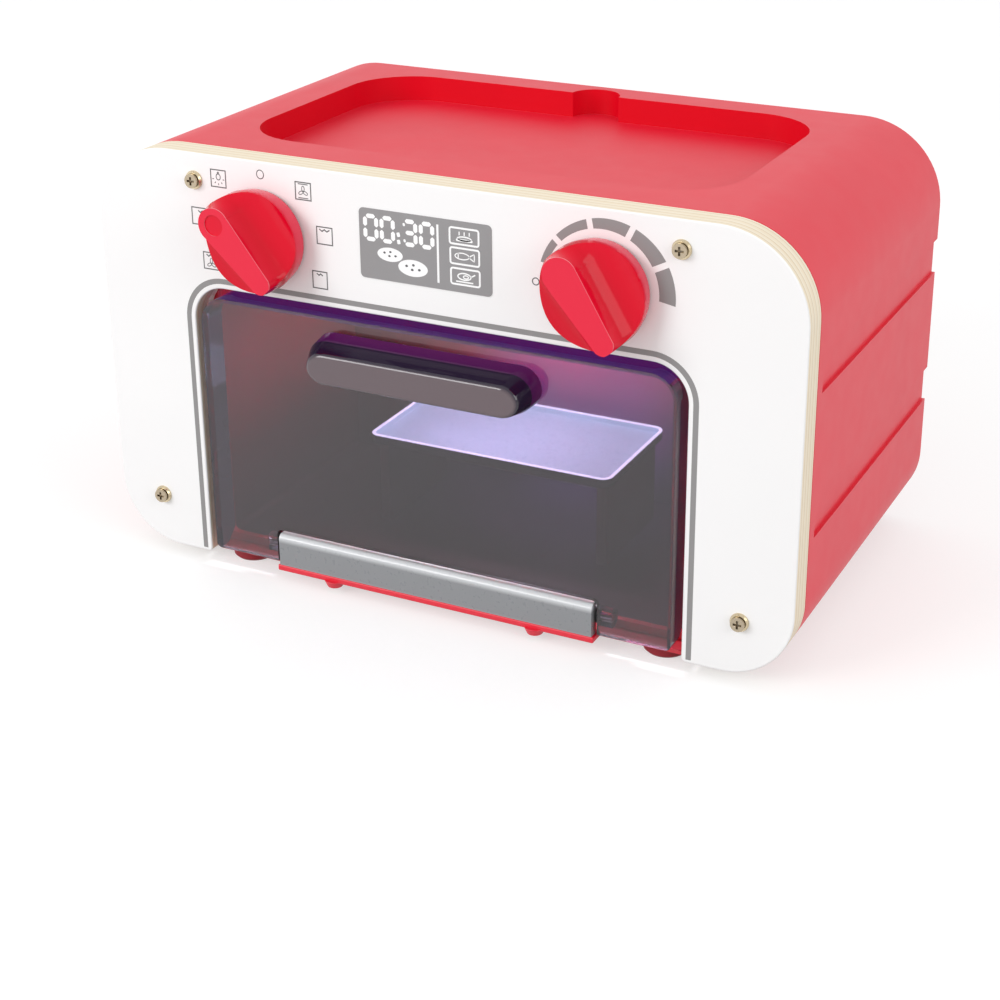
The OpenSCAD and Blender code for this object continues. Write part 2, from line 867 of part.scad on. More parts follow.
module lamp_leds() {
    color("violet") in_case() for (i = [0 : leds - 1]) {
        x = (i - (leds - 1) / 2) * lamp_w / leds;
        translate([x, lamp_y, roof_z + lamp_post_h]) mirror([0, 0, 1]) {
            cylinder(d = led_d, h = led_h - led_d / 2);
            translate([0, 0, led_h - led_d / 2]) rotate_extrude() intersection() {
                circle(d = led_d);
                square(led_d);
            }
        }
    }
}

module lamp_screws() {
    color("silver") in_case() for (s = [-1, 1]) {
        screw_down(s * lamp_post_x, lamp_y, roof_z + lamp_post_h + lamp_board_t,
            small_screw_d, small_head_d, small_head_h, small_screw_l);
    }
}

// A knob seen from the front, with its ridge upright. Its local Z points out of the panel.
module knob_form(dimple) {
    rim_r = knob_d / 2;
    scoop_r = knob_reach - knob_face;
    scoop_x = ridge_w / 2 + scoop_r;
    difference() {
        rotate_extrude() polygon([[0, knob_lift], [rim_r - 1.4, knob_lift],
            [rim_r - 1, knob_lift + 0.6], [rim_r, knob_face - 1.5], [rim_r - 0.3, knob_face],
            [rim_r - 0.8, 1.5 * knob_face], [rim_r - 1.2, knob_reach - 1],
            [rim_r - 2.2, knob_reach], [0, knob_reach]]);
        for (s = [-1, 1]) {
            rotate([0, 0, s * ridge_taper]) translate([s * scoop_x, knob_d, knob_reach])
                rotate([90, 0, 0]) cylinder(r = scoop_r, h = 2 * knob_d);
        }
        if (dimple) {
            translate([0, rim_r - dimple_in, knob_reach - dimple_deep])
                cylinder(d = dimple_d, h = dimple_deep + over);
        }
        difference() {
            cylinder(d = shaft_d + 2 * thread_gap, h = shaft_in + end_gap);
            translate([-shaft_d, shaft_d / 2 - shaft_flat + thread_gap, flat_start + end_gap])
                cube([2 * shaft_d, shaft_d, shaft_in]);
        }
    }
}

// A knob's shaft with a flat in the knob. Its local Z points out of the panel.
module shaft_form() {
    difference() {
        translate([0, 0, -shaft_end_y]) cylinder(d = shaft_d, h = shaft_end_y + shaft_in);
        translate([-shaft_d, shaft_d / 2 - shaft_flat, flat_start])
            cube([2 * shaft_d, shaft_d, shaft_in]);
    }
}

// Turns a form whose local Z points out of the panel and puts it at a knob's place.
module at_knob(x, turn) {
    in_case() translate([x, 0, knob_z]) rotate([90, 0, 0]) rotate([0, 0, turn]) children();
}

// The rotary switch behind the panel, with its bushing through the case's front wall.
module switch_form(x) {
    in_case() difference() {
        union() {
            translate([x - switch_w / 2, bulkhead_y, knob_z - switch_w / 2])
                cube([switch_w, switch_t, switch_w]);
            rod_y(x, knob_z, bushing_d, panel_t - nut_t - bushing_out, bulkhead_y + post_join);
        }
        rod_y(x, knob_z, shaft_d + 2 * run_gap, 0, shaft_end_y + end_gap);
    }
}

module selector_knob() {
    color("crimson") at_knob(selector_x, selector_turn) knob_form(true);
}

module selector_shaft() {
    color("lightgray") at_knob(selector_x, selector_turn) shaft_form();
}

module selector_switch() {
    color("dimgray") switch_form(selector_x);
}

module timer_knob() {
    color("crimson") at_knob(timer_x, timer_turn) knob_form(false);
}

module timer_shaft() {
    color("lightgray") at_knob(timer_x, timer_turn) shaft_form();
}

module timer_switch() {
    color("dimgray") switch_form(timer_x);
}

module switch_nuts() {
    color("silver") in_case() for (x = [selector_x, timer_x]) {
        difference() {
            translate([x, panel_t, knob_z]) rotate([90, 0, 0])
                cylinder(d = nut_d, h = nut_t, $fn = 6);
            rod_y(x, knob_z, bushing_d + 2 * thread_gap, 0, panel_t + over);
        }
    }
}

module control_board() {
    color("darkgreen") in_case() difference() {
        translate([-board_w / 2, board_y, roof_z + board_post_h]) cube([board_w, board_l, board_t]);
        for (p = board_spots) {
            translate([p[0], p[1], roof_z]) cylinder(d = small_hole_d, h = 2 * board_post_h);
        }
    }
}

module board_parts() {
    z = roof_z + board_post_h + board_t;
    mid_y = board_y + board_l / 2;
    color("black") in_case() {
        translate([chip_x, mid_y - chip[1] / 2, z]) cube(chip);
        translate([plug_x, mid_y - plug[1] / 2, z]) cube(plug);
        for (x = can_x) {
            translate([x, mid_y, z]) cylinder(d = can_d, h = can_h);
        }
    }
}

module board_screws() {
    color("silver") in_case() for (p = board_spots) {
        screw_down(p[0], p[1], roof_z + board_post_h + board_t, small_screw_d, small_head_d,
            small_head_h, small_screw_l);
    }
}

module back_cover() {
    color("crimson") in_case() difference() {
        union() {
            along_y(cover_y, case_depth) case_outline(wall + cover_gap);
            difference() {
                rod_y(speaker_x, speaker_z, speaker_d + 2 * (collar_t + seat_gap),
                    cover_y - speaker_t, cover_y + post_join);
                rod_y(speaker_x, speaker_z, speaker_d + 2 * seat_gap,
                    cover_y - speaker_t - over, cover_y);
            }
        }
        for (p = cover_spots) {
            rod_y(p[0], p[1], screw_d + 2 * seat_gap, cover_y - over, case_depth + over);
            rod_y(p[0], p[1], screw_head_d + 2 * seat_gap, cover_head_y, case_depth + over);
        }
        for (i = [0 : vent_rows - 1]) {
            along_y(cover_y - over, case_depth + over)
                translate([0, vent_z + i * vent_step]) slot(vent_w, vent_h);
        }
        rod_y(speaker_x, speaker_z, grille_hole_d, cover_y - over, case_depth + over);
        for (ring = [1 : grille_rings], i = [0 : 6 * ring - 1]) {
            a = i * 60 / ring;
            r = ring * grille_pitch;
            rod_y(speaker_x + r * cos(a), speaker_z + r * sin(a), grille_hole_d,
                cover_y - over, case_depth + over);
        }
        along_y(cover_y - over, case_depth + over) translate([power_x, power_z])
            square([slider_w + power_travel + 4 * seat_gap, slider_h + 2 * seat_gap], center = true);
        along_y(cover_y - over, case_depth + over) translate([0, (box_door_low + box_door_top) / 2])
            square([box_door_w + 2 * seat_gap, box_door_top - box_door_low + 2 * seat_gap],
                center = true);
    }
}

module cover_screws() {
    color("silver") in_case() for (p = cover_spots) {
        translate([0, 2 * cover_head_y, 0]) mirror([0, 1, 0])
            screw_y(p[0], p[1], cover_head_y, screw_d, screw_head_d,
                screw_head_h - 2 * head_sink, cover_screw_l - 2);
    }
}

module speaker_frame() {
    rim_r = speaker_d / 2;
    cone_t = 1.5;
    cone_r = 5;
    color("black") in_case() translate([speaker_x, cover_y, speaker_z]) rotate([90, 0, 0])
        rotate_extrude() polygon([[0, speaker_t - cone_t], [0, speaker_t], [rim_r, speaker_t],
            [rim_r, 0], [rim_r - 2.5, 0], [rim_r - 2.5, 1], [cone_r, speaker_t - cone_t]]);
}

module speaker_magnet() {
    color("silver") in_case()
        rod_y(speaker_x, speaker_z, magnet_d, cover_y - speaker_t - magnet_t, cover_y - speaker_t);
}

module battery_box() {
    out_w = box_in_w + 2 * box_wall;
    front = cover_y - box_flange_t - box_in_d;
    flange_low = box_door_low - box_wall;
    flange_top_z = box_low_z + box_in_h + box_flange;
    color("dimgray") in_case() difference() {
        union() {
            translate([-out_w / 2, front - box_wall, box_low_z - box_wall])
                cube([out_w, box_in_d + box_wall + box_flange_t, box_in_h + 2 * box_wall]);
            translate([-out_w / 2 - box_flange, cover_y - box_flange_t, flange_low])
                cube([out_w + 2 * box_flange, box_flange_t, flange_top_z - flange_low]);
            rod_y(0, box_screw_z, 2 * box_boss_r, cover_y - box_boss_l, cover_y);
        }
        translate([-box_in_w / 2, front, box_low_z])
            cube([box_in_w, box_in_d + box_flange_t + over, box_in_h]);
        rod_y(0, box_screw_z, box_screw_d + 2 * thread_gap, cover_y - box_boss_l + boss_end,
            cover_y + over);
    }
}

function cell_x(i) = (i - (cells - 1) / 2) * cell_pitch;

module batteries() {
    body_l = cell_l - nub_h;
    color("gold") in_case() for (i = [0 : cells - 1]) {
        up = i % 2 == 0;
        translate([cell_x(i), cell_y, cell_z]) {
            translate([0, 0, up ? 0 : nub_h]) cylinder(d = cell_d, h = body_l);
            translate([0, 0, up ? body_l : 0]) cylinder(d = nub_d, h = nub_h);
        }
    }
}

module battery_springs() {
    color("silver") in_case() for (i = [0 : cells - 1]) {
        z = i % 2 == 0 ? cell_z - spring_h : cell_z + cell_l;
        translate([cell_x(i), cell_y, z]) difference() {
            cylinder(r = spring_r, h = spring_h);
            translate([0, 0, -over]) cylinder(r = spring_r - spring_wall, h = spring_h + 2 * over);
        }
    }
}

module battery_plates() {
    top_z = box_low_z + box_in_h - contact_t - plate_gap;
    color("silver") in_case() for (i = [0 : cells - 1], end = [0, 1]) {
        translate([cell_x(i) - plate_w / 2, cell_y - plate_w / 2, end == 0 ? box_low_z + plate_gap : top_z])
            cube([plate_w, plate_w, contact_t]);
    }
}

module battery_door() {
    color("crimson") in_case() difference() {
        along_y(cover_y + 0.1, case_depth) translate([0, (box_door_low + box_door_top) / 2])
            square([box_door_w, box_door_top - box_door_low], center = true);
        rod_y(0, box_screw_z, box_screw_d + 2 * seat_gap, cover_y, case_depth + over);
        rod_y(0, box_screw_z, box_screw_head_d + 2 * seat_gap, box_head_y, case_depth + over);
    }
}

module battery_door_screw() {
    color("silver") in_case() translate([0, 2 * box_head_y, 0]) mirror([0, 1, 0])
        screw_y(0, box_screw_z, box_head_y, box_screw_d, box_screw_head_d, box_screw_head_h,
            box_boss_l - boss_end);
}

module power_switch() {
    slot_w = slider_w + power_travel + 2 * run_gap;
    color("black") in_case() translate([power_x, 0, power_z]) difference() {
        translate([-power_w / 2, cover_y - power_t, -power_h / 2])
            cube([power_w, power_t, power_h]);
        translate([-slot_w / 2, cover_y - power_t + power_floor, -slider_h / 2 - run_gap])
            cube([slot_w, power_t, slider_h + 2 * run_gap]);
    }
}

module power_slider() {
    color("white") in_case() translate([power_x - power_travel / 2, 0, power_z])
        translate([-slider_w / 2, cover_y - power_t + power_floor + run_gap, -slider_h / 2])
            cube([slider_w, power_t - power_floor + cover_t - power_face, slider_h]);
}

module feet() {
    color("darkred") in_case() for (p = foot_spots) {
        translate([p[0], p[1], -foot_h]) {
            rotate_extrude() polygon([[0, 0], [foot_d / 2 - foot_chamfer, 0],
                [foot_d / 2, foot_chamfer], [foot_d / 2, foot_h], [0, foot_h]]);
            cylinder(d = foot_pin_d, h = foot_h + lip_t - post_join);
        }
    }
}

body_shell();
front_panel();
panel_screws();
screw_cups();
display_label();
door();
hinge_bar();
hinge_rod();
hinge_washers();
bar_screws();
oven_liner();
liner_screws();
tray_stand();
glow_tray();
lamp_window();
lamp_board();
lamp_leds();
lamp_screws();
selector_knob();
selector_shaft();
selector_switch();
timer_knob();
timer_shaft();
timer_switch();
switch_nuts();
control_board();
board_parts();
board_screws();
back_cover();
cover_screws();
speaker_frame();
speaker_magnet();
battery_box();
batteries();
battery_springs();
battery_plates();
battery_door();
battery_door_screw();
power_switch();
power_slider();
feet();
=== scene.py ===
"""Looks of a toy oven: a red moulded case with a white wooden front, a tinted drop-down door,
two turning knobs, printed marks and a lit tray inside.

Places are given in mm: x from the middle, y from the face of the front panel to the back,
and z from the panel's lower edge. at() turns them into metres in the shared frame.
"""

import math

import bpy
from mathutils import Matrix, Vector


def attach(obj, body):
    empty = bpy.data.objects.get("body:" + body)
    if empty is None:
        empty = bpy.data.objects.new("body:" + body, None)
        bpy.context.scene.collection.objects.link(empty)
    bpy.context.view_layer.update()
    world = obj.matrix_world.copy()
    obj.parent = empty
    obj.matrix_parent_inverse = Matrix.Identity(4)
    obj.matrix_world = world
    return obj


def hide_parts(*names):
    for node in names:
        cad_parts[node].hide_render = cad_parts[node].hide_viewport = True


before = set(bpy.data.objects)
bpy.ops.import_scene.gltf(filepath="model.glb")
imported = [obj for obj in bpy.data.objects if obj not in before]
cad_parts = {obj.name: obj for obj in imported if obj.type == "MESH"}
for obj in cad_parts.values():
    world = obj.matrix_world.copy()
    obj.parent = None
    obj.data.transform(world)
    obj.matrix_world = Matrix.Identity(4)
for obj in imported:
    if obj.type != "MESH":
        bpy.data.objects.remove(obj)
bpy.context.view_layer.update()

MM = 0.001
PANEL_FACE = -81.25
FOOT_HEIGHT = 5.0
DEG = math.pi / 180

KNOB_X = 79
KNOB_Z = 158
KNOB_OUT = 22.5
SELECTOR_TURN = 43
TIMER_TURN = 36
INK = 0.06
LABEL_FACE = -0.3

# The front panel and the case behind it
HALF_WIDTH = 165
TOP = 191
TOP_CORNER = 38
LOW_CORNER = 31
PANEL_DEPTH = 14
CASE_BACK = 185
PAST_BACK = 190
CASE_WALL = 3
OPENING_HALF = 117
OPENING_TOP = 131
RECESS_HALF = 115
RECESS_FRONT = 34
RECESS_BACK = 169
RECESS_FLOOR = 179
RECESS_CORNER = 31
FINGER_NOTCH = 12

# The space behind the door: its half width, floor and ceiling
SPACE = (114, 5.5, 126)
SPACE_CORNER = 3

# The door, its handle and its hinge bar
DOOR_HALF = 112.8
DOOR_LOW = 4.2
DOOR_TOP = 126.8
DOOR_FACE = -1.5
DOOR_INNER_FACE = 1.5
DOOR_BACK = 12
DOOR_WALL = 2.2
NOTCH_HALF = 79.3
NOTCH_TOP = 20.2
HANDLE_HALF = 54
HANDLE_LOW = 102
HANDLE_TOP = 121
HANDLE_STEP = -9
HANDLE_FRONT = -17
BAR_HALF = 77.5
BAR_LOW = 3.4
BAR_TOP = 18.4
BAR_FRONT = -3.2
BAR_BACK = 1.4
HINGE_Y = 4
HINGE_Z = 11.5
HINGE_HALF = 95

# The lit tray
TRAY_HALF = 61
TRAY_FRONT = 52
TRAY_BACK = 118
TRAY_LOW = 46
TRAY_TOP = 50.5


def at(x, y, z):
    """A place in mm, as a point of the shared frame."""
    return Vector((x * MM, (y + PANEL_FACE) * MM, (z + FOOT_HEIGHT) * MM))


def mm(point):
    """A point of the shared frame, as a place in mm."""
    return Vector((point.x / MM, point.y / MM - PANEL_FACE, point.z / MM - FOOT_HEIGHT))


# Shaping


def clear():
    bpy.ops.object.select_all(action="DESELECT")


def only(piece):
    clear()
    piece.select_set(True)
    bpy.context.view_layer.objects.active = piece


def settle(name):
    """Names the primitive that was just added, and puts its place into its mesh."""
    piece = bpy.context.object
    piece.name = name
    bpy.ops.object.transform_apply(location=True, rotation=True, scale=True)
    return piece


def block(name, low, high):
    """A block between two corners."""
    a, b = at(*low), at(*high)
    clear()
    bpy.ops.mesh.primitive_cube_add(size=1, location=(a + b) / 2, scale=b - a)
    return settle(name)


def rod(name, start, end, radius, sides=48):
    """A round rod between two points."""
    a, b = at(*start), at(*end)
    turn = (b - a).to_track_quat("Z", "Y").to_euler()
    clear()
    bpy.ops.mesh.primitive_cylinder_add(
        vertices=sides,
        radius=radius * MM,
        depth=(b - a).length,
        location=(a + b) / 2,
        rotation=turn,
    )
    return settle(name)


def pick_edges(piece, test):
    """Opens the piece for editing with the edges selected whose middle and run pass the test."""
    only(piece)
    bpy.ops.object.mode_set(mode="EDIT")
    bpy.ops.mesh.select_mode(type="EDGE")
    bpy.ops.mesh.select_all(action="DESELECT")
    bpy.ops.object.mode_set(mode="OBJECT")
    places = [mm(v.co) for v in piece.data.vertices]
    for edge in piece.data.edges:
        a, b = places[edge.vertices[0]], places[edge.vertices[1]]
        edge.select = test((a + b) / 2, b - a)
    bpy.ops.object.mode_set(mode="EDIT")


def pick_faces(piece, test):
    """Opens the piece for editing with the faces selected whose middle and normal pass the test."""
    only(piece)
    bpy.ops.object.mode_set(mode="EDIT")
    bpy.ops.mesh.select_mode(type="FACE")
    bpy.ops.mesh.select_all(action="DESELECT")
    bpy.ops.object.mode_set(mode="OBJECT")
    for face in piece.data.polygons:
        face.select = test(mm(face.center), face.normal)
    bpy.ops.object.mode_set(mode="EDIT")


def close_edit():
    bpy.ops.object.mode_set(mode="OBJECT")


def round_edges(piece, radius, steps, test):
    """Rounds the edges that pass the test."""
    pick_edges(piece, test)
    bpy.ops.mesh.bevel(offset=radius * MM, segments=steps, affect="EDGES")
    close_edit()
    return piece


def apply_change(piece, change):
    only(piece)
    bpy.ops.object.modifier_apply(modifier=change.name)


def combine(piece, tool, how):
    change = piece.modifiers.new("with tool", "BOOLEAN")
    change.operation = how
    change.solver = "EXACT"
    change.object = tool
    apply_change(piece, change)
    bpy.data.objects.remove(tool)
    return piece


def cut(piece, tool):
    return combine(piece, tool, "DIFFERENCE")


def add(piece, tool):
    return combine(piece, tool, "UNION")


def tidy_faces(piece):
    """Merges doubled points and flat neighbours, so that the edges round evenly."""
    only(piece)
    bpy.ops.object.mode_set(mode="EDIT")
    bpy.ops.mesh.select_all(action="SELECT")
    bpy.ops.mesh.remove_doubles(threshold=2e-6)
    bpy.ops.mesh.dissolve_limited(angle_limit=0.2 * DEG)
    bpy.ops.mesh.normals_make_consistent(inside=False)
    close_edit()


def close_seams(piece):
    """Merges doubled points and closes the tiny gaps that are left after rounding."""
    only(piece)
    bpy.ops.object.mode_set(mode="EDIT")
    bpy.ops.mesh.select_all(action="SELECT")
    bpy.ops.mesh.remove_doubles(threshold=1e-6)
    bpy.ops.mesh.dissolve_degenerate(threshold=1e-6)
    bpy.ops.mesh.select_all(action="SELECT")
    bpy.ops.mesh.fill_holes(sides=8)
    close_edit()


def soften(piece, radius, steps=3, angle=32):
    """Rounds every sharp edge a little and shades the rest smooth."""
    tidy_faces(piece)
    change = piece.modifiers.new("soft edges", "BEVEL")
    change.width = radius * MM
    change.segments = steps
    change.limit_method = "ANGLE"
    change.angle_limit = angle * DEG
    apply_change(piece, change)
    close_seams(piece)
    return smooth(piece, 38)


def smooth(piece, angle=35):
    """Shades the piece smooth, with its large faces kept even."""
    only(piece)
    bpy.ops.object.shade_smooth_by_angle(angle=angle * DEG)
    change = piece.modifiers.new("even faces", "WEIGHTED_NORMAL")
    change.keep_sharp = True
    change.weight = 100
    apply_change(piece, change)
    return piece


def along_depth(middle, run):
    return abs(run.y) > 0.9 * run.length


def slab(name, half_width, low, top, front, back, top_round, low_round, steps=16):
    """An upright plate with round upper and lower corners."""
    piece = block(name, (-half_width, front, low), (half_width, back, top))
    for height, radius in ((top, top_round), (low, low_round)):
        round_edges(
            piece,
            radius,
            steps,
            lambda middle, run: along_depth(middle, run) and abs(middle.z - height) < 0.01,
        )
    return piece


def join(name, parts):
    clear()
    for part in parts:
        part.select_set(True)
    bpy.context.view_layer.objects.active = parts[0]
    if len(parts) > 1:
        bpy.ops.object.join()
    parts[0].name = name
    return parts[0]


# Materials


def tint(code):
    """A colour from its six-figure screen code, in Blender's linear values."""
    values = [int(code[i : i + 2], 16) / 255 for i in (0, 2, 4)]
    return [v / 12.92 if v <= 0.04045 else ((v + 0.055) / 1.055) ** 2.4 for v in values]


class Finish:
    """A material under construction, with short calls for its nodes."""

    def __init__(self, name):
        self.material = bpy.data.materials.new(name)
        self.material.use_nodes = True
        self.tree = self.material.node_tree
        self.shader = self.tree.nodes["Principled BSDF"]
        self.place = self.node("ShaderNodeTexCoord").outputs["Object"]

    def node(self, kind, **settings):
        made = self.tree.nodes.new(kind)
        for key, value in settings.items():
            setattr(made, key, value)
        return made

    def link(self, source, target):
        self.tree.links.new(source, target)

    def set(self, **values):
        for key, value in values.items():
            self.shader.inputs[key.replace("_", " ")].default_value = value

    def stretched(self, scale):
        mapping = self.node("ShaderNodeMapping")
        mapping.inputs["Scale"].default_value = scale
        self.link(self.place, mapping.inputs["Vector"])
        return mapping.outputs["Vector"]

    def noise(self, scale, detail=2.0, rough=0.5, stretch=None):
        made = self.node("ShaderNodeTexNoise")
        made.inputs["Scale"].default_value = scale
        made.inputs["Detail"].default_value = detail
        made.inputs["Roughness"].default_value = rough
        self.link(self.stretched(stretch) if stretch else self.place, made.inputs["Vector"])
        return made.outputs["Fac"]

    def spread(self, value, low, high, start=0.3, end=0.7):
        made = self.node("ShaderNodeMapRange")
        made.inputs["From Min"].default_value = start
        made.inputs["From Max"].default_value = end
        made.inputs["To Min"].default_value = low
        made.inputs["To Max"].default_value = high
        self.link(value, made.inputs["Value"])
        return made.outputs["Result"]

    def ramp(self, value, stops, kind="LINEAR"):
        made = self.node("ShaderNodeValToRGB")
        made.color_ramp.interpolation = kind
        for i, (place, colour) in enumerate(stops):
            if i < 2:
                stop = made.color_ramp.elements[i]
                stop.position = place
            else:
                stop = made.color_ramp.elements.new(place)
            stop.color = [*colour, 1]
        self.link(value, made.inputs["Fac"])
        return made.outputs["Color"]

    def mix(self, share, first, second):
        made = self.node("ShaderNodeMix", data_type="RGBA")
        for value, socket in ((share, 0), (first, 6), (second, 7)):
            if hasattr(value, "is_output"):
                self.link(value, made.inputs[socket])
            else:
                made.inputs[socket].default_value = value
        return made.outputs[2]

    def bump(self, height, depth, strength=1.0):
        made = self.node("ShaderNodeBump")
        made.inputs["Strength"].default_value = strength
        made.inputs["Distance"].default_value = depth
        self.link(height, made.inputs["Height"])
        self.link(made.outputs["Normal"], self.shader.inputs["Normal"])

    def colour(self, socket):
        self.link(socket, self.shader.inputs["Base Color"])

    def roughness(self, socket):
        self.link(socket, self.shader.inputs["Roughness"])


def plastic(name, code, rough, grain=0.000012, coat=0.0, shade=0.06, shine=0.5):
    """Moulded plastic: slightly uneven in colour and gloss, with a fine moulded grain."""
    made = Finish(name)
    base = tint(code)
    darker = [v * (1 - shade) for v in base]
    made.colour(made.ramp(made.noise(22, 3), [(0.3, darker), (0.7, base)]))
    made.roughness(made.spread(made.noise(90, 4), rough - 0.015, rough + 0.02))
    made.bump(made.noise(2600, 2), grain, 0.5)
    made.set(Coat_Weight=coat, Coat_Roughness=0.06, Specular_IOR_Level=shine)
    return made.material


def metal(name, code, rough):
    """Plated steel or brass with a fine brushed grain."""
    made = Finish(name)
    base = tint(code)
    made.colour(made.ramp(made.noise(300, 3), [(0.3, [v * 0.86 for v in base]), (0.7, base)]))
    made.roughness(made.spread(made.noise(700, 3), rough - 0.05, rough + 0.08))
    made.bump(made.noise(3500, 2, stretch=(1, 1, 0.15)), 0.00001, 0.4)
    made.set(Metallic=1.0)
    return made.material


def lacquered_plywood():
    """White lacquer on the panel's face, and the bare pale layers of plywood round its edge."""
    made = Finish("white_lacquered_plywood")
    split = made.node("ShaderNodeSeparateXYZ")
    made.link(made.place, split.inputs["Vector"])
    depth = made.node("ShaderNodeMath", operation="MULTIPLY_ADD")
    made.link(made.noise(60, 3, stretch=(1, 0.2, 1)), depth.inputs[0])
    depth.inputs[1].default_value = 0.0005
    made.link(split.outputs["Y"], depth.inputs[2])
    face = PANEL_FACE * MM + 0.00025
    inside = made.spread(depth.outputs[0], 0, 1, face, face + 0.014)
    cream, pale, line = tint("ecdcc0"), tint("f3e9d6"), tint("c8ae86")
    layers = made.ramp(
        inside,
        [
            (0.0, pale),
            (0.14, cream),
            (0.17, line),
            (0.19, pale),
            (0.36, cream),
            (0.39, line),
            (0.41, pale),
            (0.6, cream),
            (0.63, line),
            (0.65, pale),
            (0.82, cream),
            (0.85, line),
            (0.87, pale),
            (1.0, cream),
        ],
    )
    fibres = made.ramp(
        made.noise(900, 4, stretch=(0.08, 1, 0.08)), [(0.25, tint("ead9b6")), (0.6, pale)]
    )
    wood = made.mix(0.28, layers, fibres)
    lacquer = made.ramp(made.noise(14, 3), [(0.3, tint("f1f0f0")), (0.7, tint("f3f2f2"))])
    bare = made.spread(depth.outputs[0], 0, 1, face + 0.0005, face + 0.0007)
    made.colour(made.mix(bare, lacquer, wood))
    made.roughness(made.spread(bare, 0.36, 0.62, 0, 1))
    made.bump(made.noise(1400, 3, stretch=(0.5, 1, 0.5)), 0.00002, 0.35)
    made.set(IOR=1.48)
    return made.material


def along(made, axis, stops):
    """Colours by the place in mm along "Y" or "Z", as an output of the material."""
    split = made.node("ShaderNodeSeparateXYZ")
    made.link(made.place, split.inputs["Vector"])
    first, last = stops[0][0], stops[-1][0]
    shift = PANEL_FACE if axis == "Y" else FOOT_HEIGHT
    start, end = (first + shift) * MM, (last + shift) * MM
    share = made.spread(split.outputs[axis], 0, 1, start, end)
    return made.ramp(share, [((y - first) / (last - first), tint(code)) for y, code in stops])


def handle_painted_glow():
    """The hump of the door: dark purple, with a painted glow of the lamp's light where it meets the
    door and a lighter front that is partly painted reflection.
    """
    made = Finish("door_handle_painted_glow")
    # Painted light: the magenta towards the door is a painted glow from the lamp inside, and the
    # lighter front is partly a painted reflection of the floor.
    stops = [
        (-17.1, "66565b"),
        (-16.9, "5a4c52"),
        (-16.2, "1c1028"),
        (-9.3, "24142e"),
        (-8.9, "48164a"),
        (-1.5, "5c1c58"),
    ]
    made.colour(along(made, "Y", stops))
    made.roughness(made.spread(made.noise(120, 3), 0.03, 0.07))
    made.link(
        along(made, "Y", [(-17.1, "ffffff"), (-15.8, "ffffff"), (-15.2, "202020"), (0, "202020")]),
        made.shader.inputs["Coat Weight"],
    )
    made.set(Specular_IOR_Level=0.12, Coat_Roughness=0.02)
    return made.material


def screw_head(name, code, recess, face):
    """Plated steel, painted dark in the recess of the head as painted shade."""
    made = Finish(name)
    # Painted shade: deeper than half a millimetre behind the head's face the colour turns dark.
    stops = [(face, code), (face + 0.3, code), (face + 0.5, recess), (20, recess)]
    made.colour(along(made, "Y", stops))
    made.roughness(made.spread(made.noise(700, 3), 0.22, 0.36))
    made.set(Metallic=1.0)
    return made.material


def knob_painted_light():
    """Polished red plastic, with painted light: a painted highlight on the rounded edge of the
    ridge, painted shade deeper in the scoops, and a lighter painted sheen on the flank.
    """
    made = Finish("red_knob_painted_light")
    # Painted light by depth: the pale band on the ridge's rounded edge is a painted highlight, the
    # deeper red in the scoops is painted shade, and the pinker flank towards the panel is a painted
    # sheen.
    stops = [
        (-22.5, "e42842"),
        (-22.42, "e42842"),
        (-22.3, "f28c98"),
        (-22.12, "f28c98"),
        (-21.95, "dd0a2c"),
        (-15, "cd0020"),
        (-9.6, "d60426"),
        (-8.4, "de2a46"),
        (-1.2, "e23c54"),
    ]
    made.colour(along(made, "Y", stops))
    made.roughness(made.spread(made.noise(90, 4), 0.14, 0.2))
    made.bump(made.noise(2600, 2), 0.000004, 0.4)
    made.set(Specular_IOR_Level=0.14, Coat_Weight=0.14, Coat_Roughness=0.03)
    return made.material


def bar_painted_highlight():
    """Grey plastic, with a painted highlight where the top edge rolls over and a lighter painted
    edge along the bottom.
    """
    made = Finish("grey_bar_painted_highlight")
    # The pale stops at the bottom edge and over the top are painted highlights; the middle is the
    # grey of the bar.
    stops = [(3, "9c9ea1"), (4.2, "85878a"), (14.4, "85878a"), (16, "b9bbbe"), (18.4, "d0d2d5")]
    made.colour(along(made, "Z", stops))
    made.roughness(made.spread(made.noise(500, 3), 0.27, 0.29))
    made.set(Coat_Weight=0.4, Coat_Roughness=0.06)
    return made.material


def liner_painted_shade_and_glow():
    """Red plastic, painted darker towards the floor as painted shade, with a painted glow of the
    lamp's violet light on its back wall.
    """
    made = Finish("red_liner_painted_shade_and_glow")
    split = made.node("ShaderNodeSeparateXYZ")
    made.link(made.place, split.inputs["Vector"])
    height = made.spread(split.outputs["Z"], 0, 1, at(0, 0, 5).z, at(0, 0, 126).z)
    # Painted shade: the walls darken towards the floor of the space.
    walls = made.ramp(height, [(0, tint("30080f")), (0.3, tint("5e0c1c")), (0.75, tint("d41434"))])
    uneven = made.spread(made.noise(22, 3), 0, 0.12)
    made.colour(made.mix(uneven, walls, [*tint("3c0a16"), 1]))
    made.roughness(made.spread(made.noise(90, 4), 0.4, 0.5))
    # Painted light: a glow of the lamp's violet light on the back wall, round this point.
    away = made.node("ShaderNodeVectorMath", operation="DISTANCE")
    made.link(made.place, away.inputs[0])
    away.inputs[1].default_value = at(12, 132, 62)
    glow = made.spread(away.outputs["Value"], 1, 0, 0.02, 0.105)
    made.link(
        made.ramp(glow, [(0, (0, 0, 0)), (0.4, tint("1c0e30")), (1, tint("8660c0"))], "EASE"),
        made.shader.inputs["Emission Color"],
    )
    made.set(Emission_Strength=1.0)
    return made.material


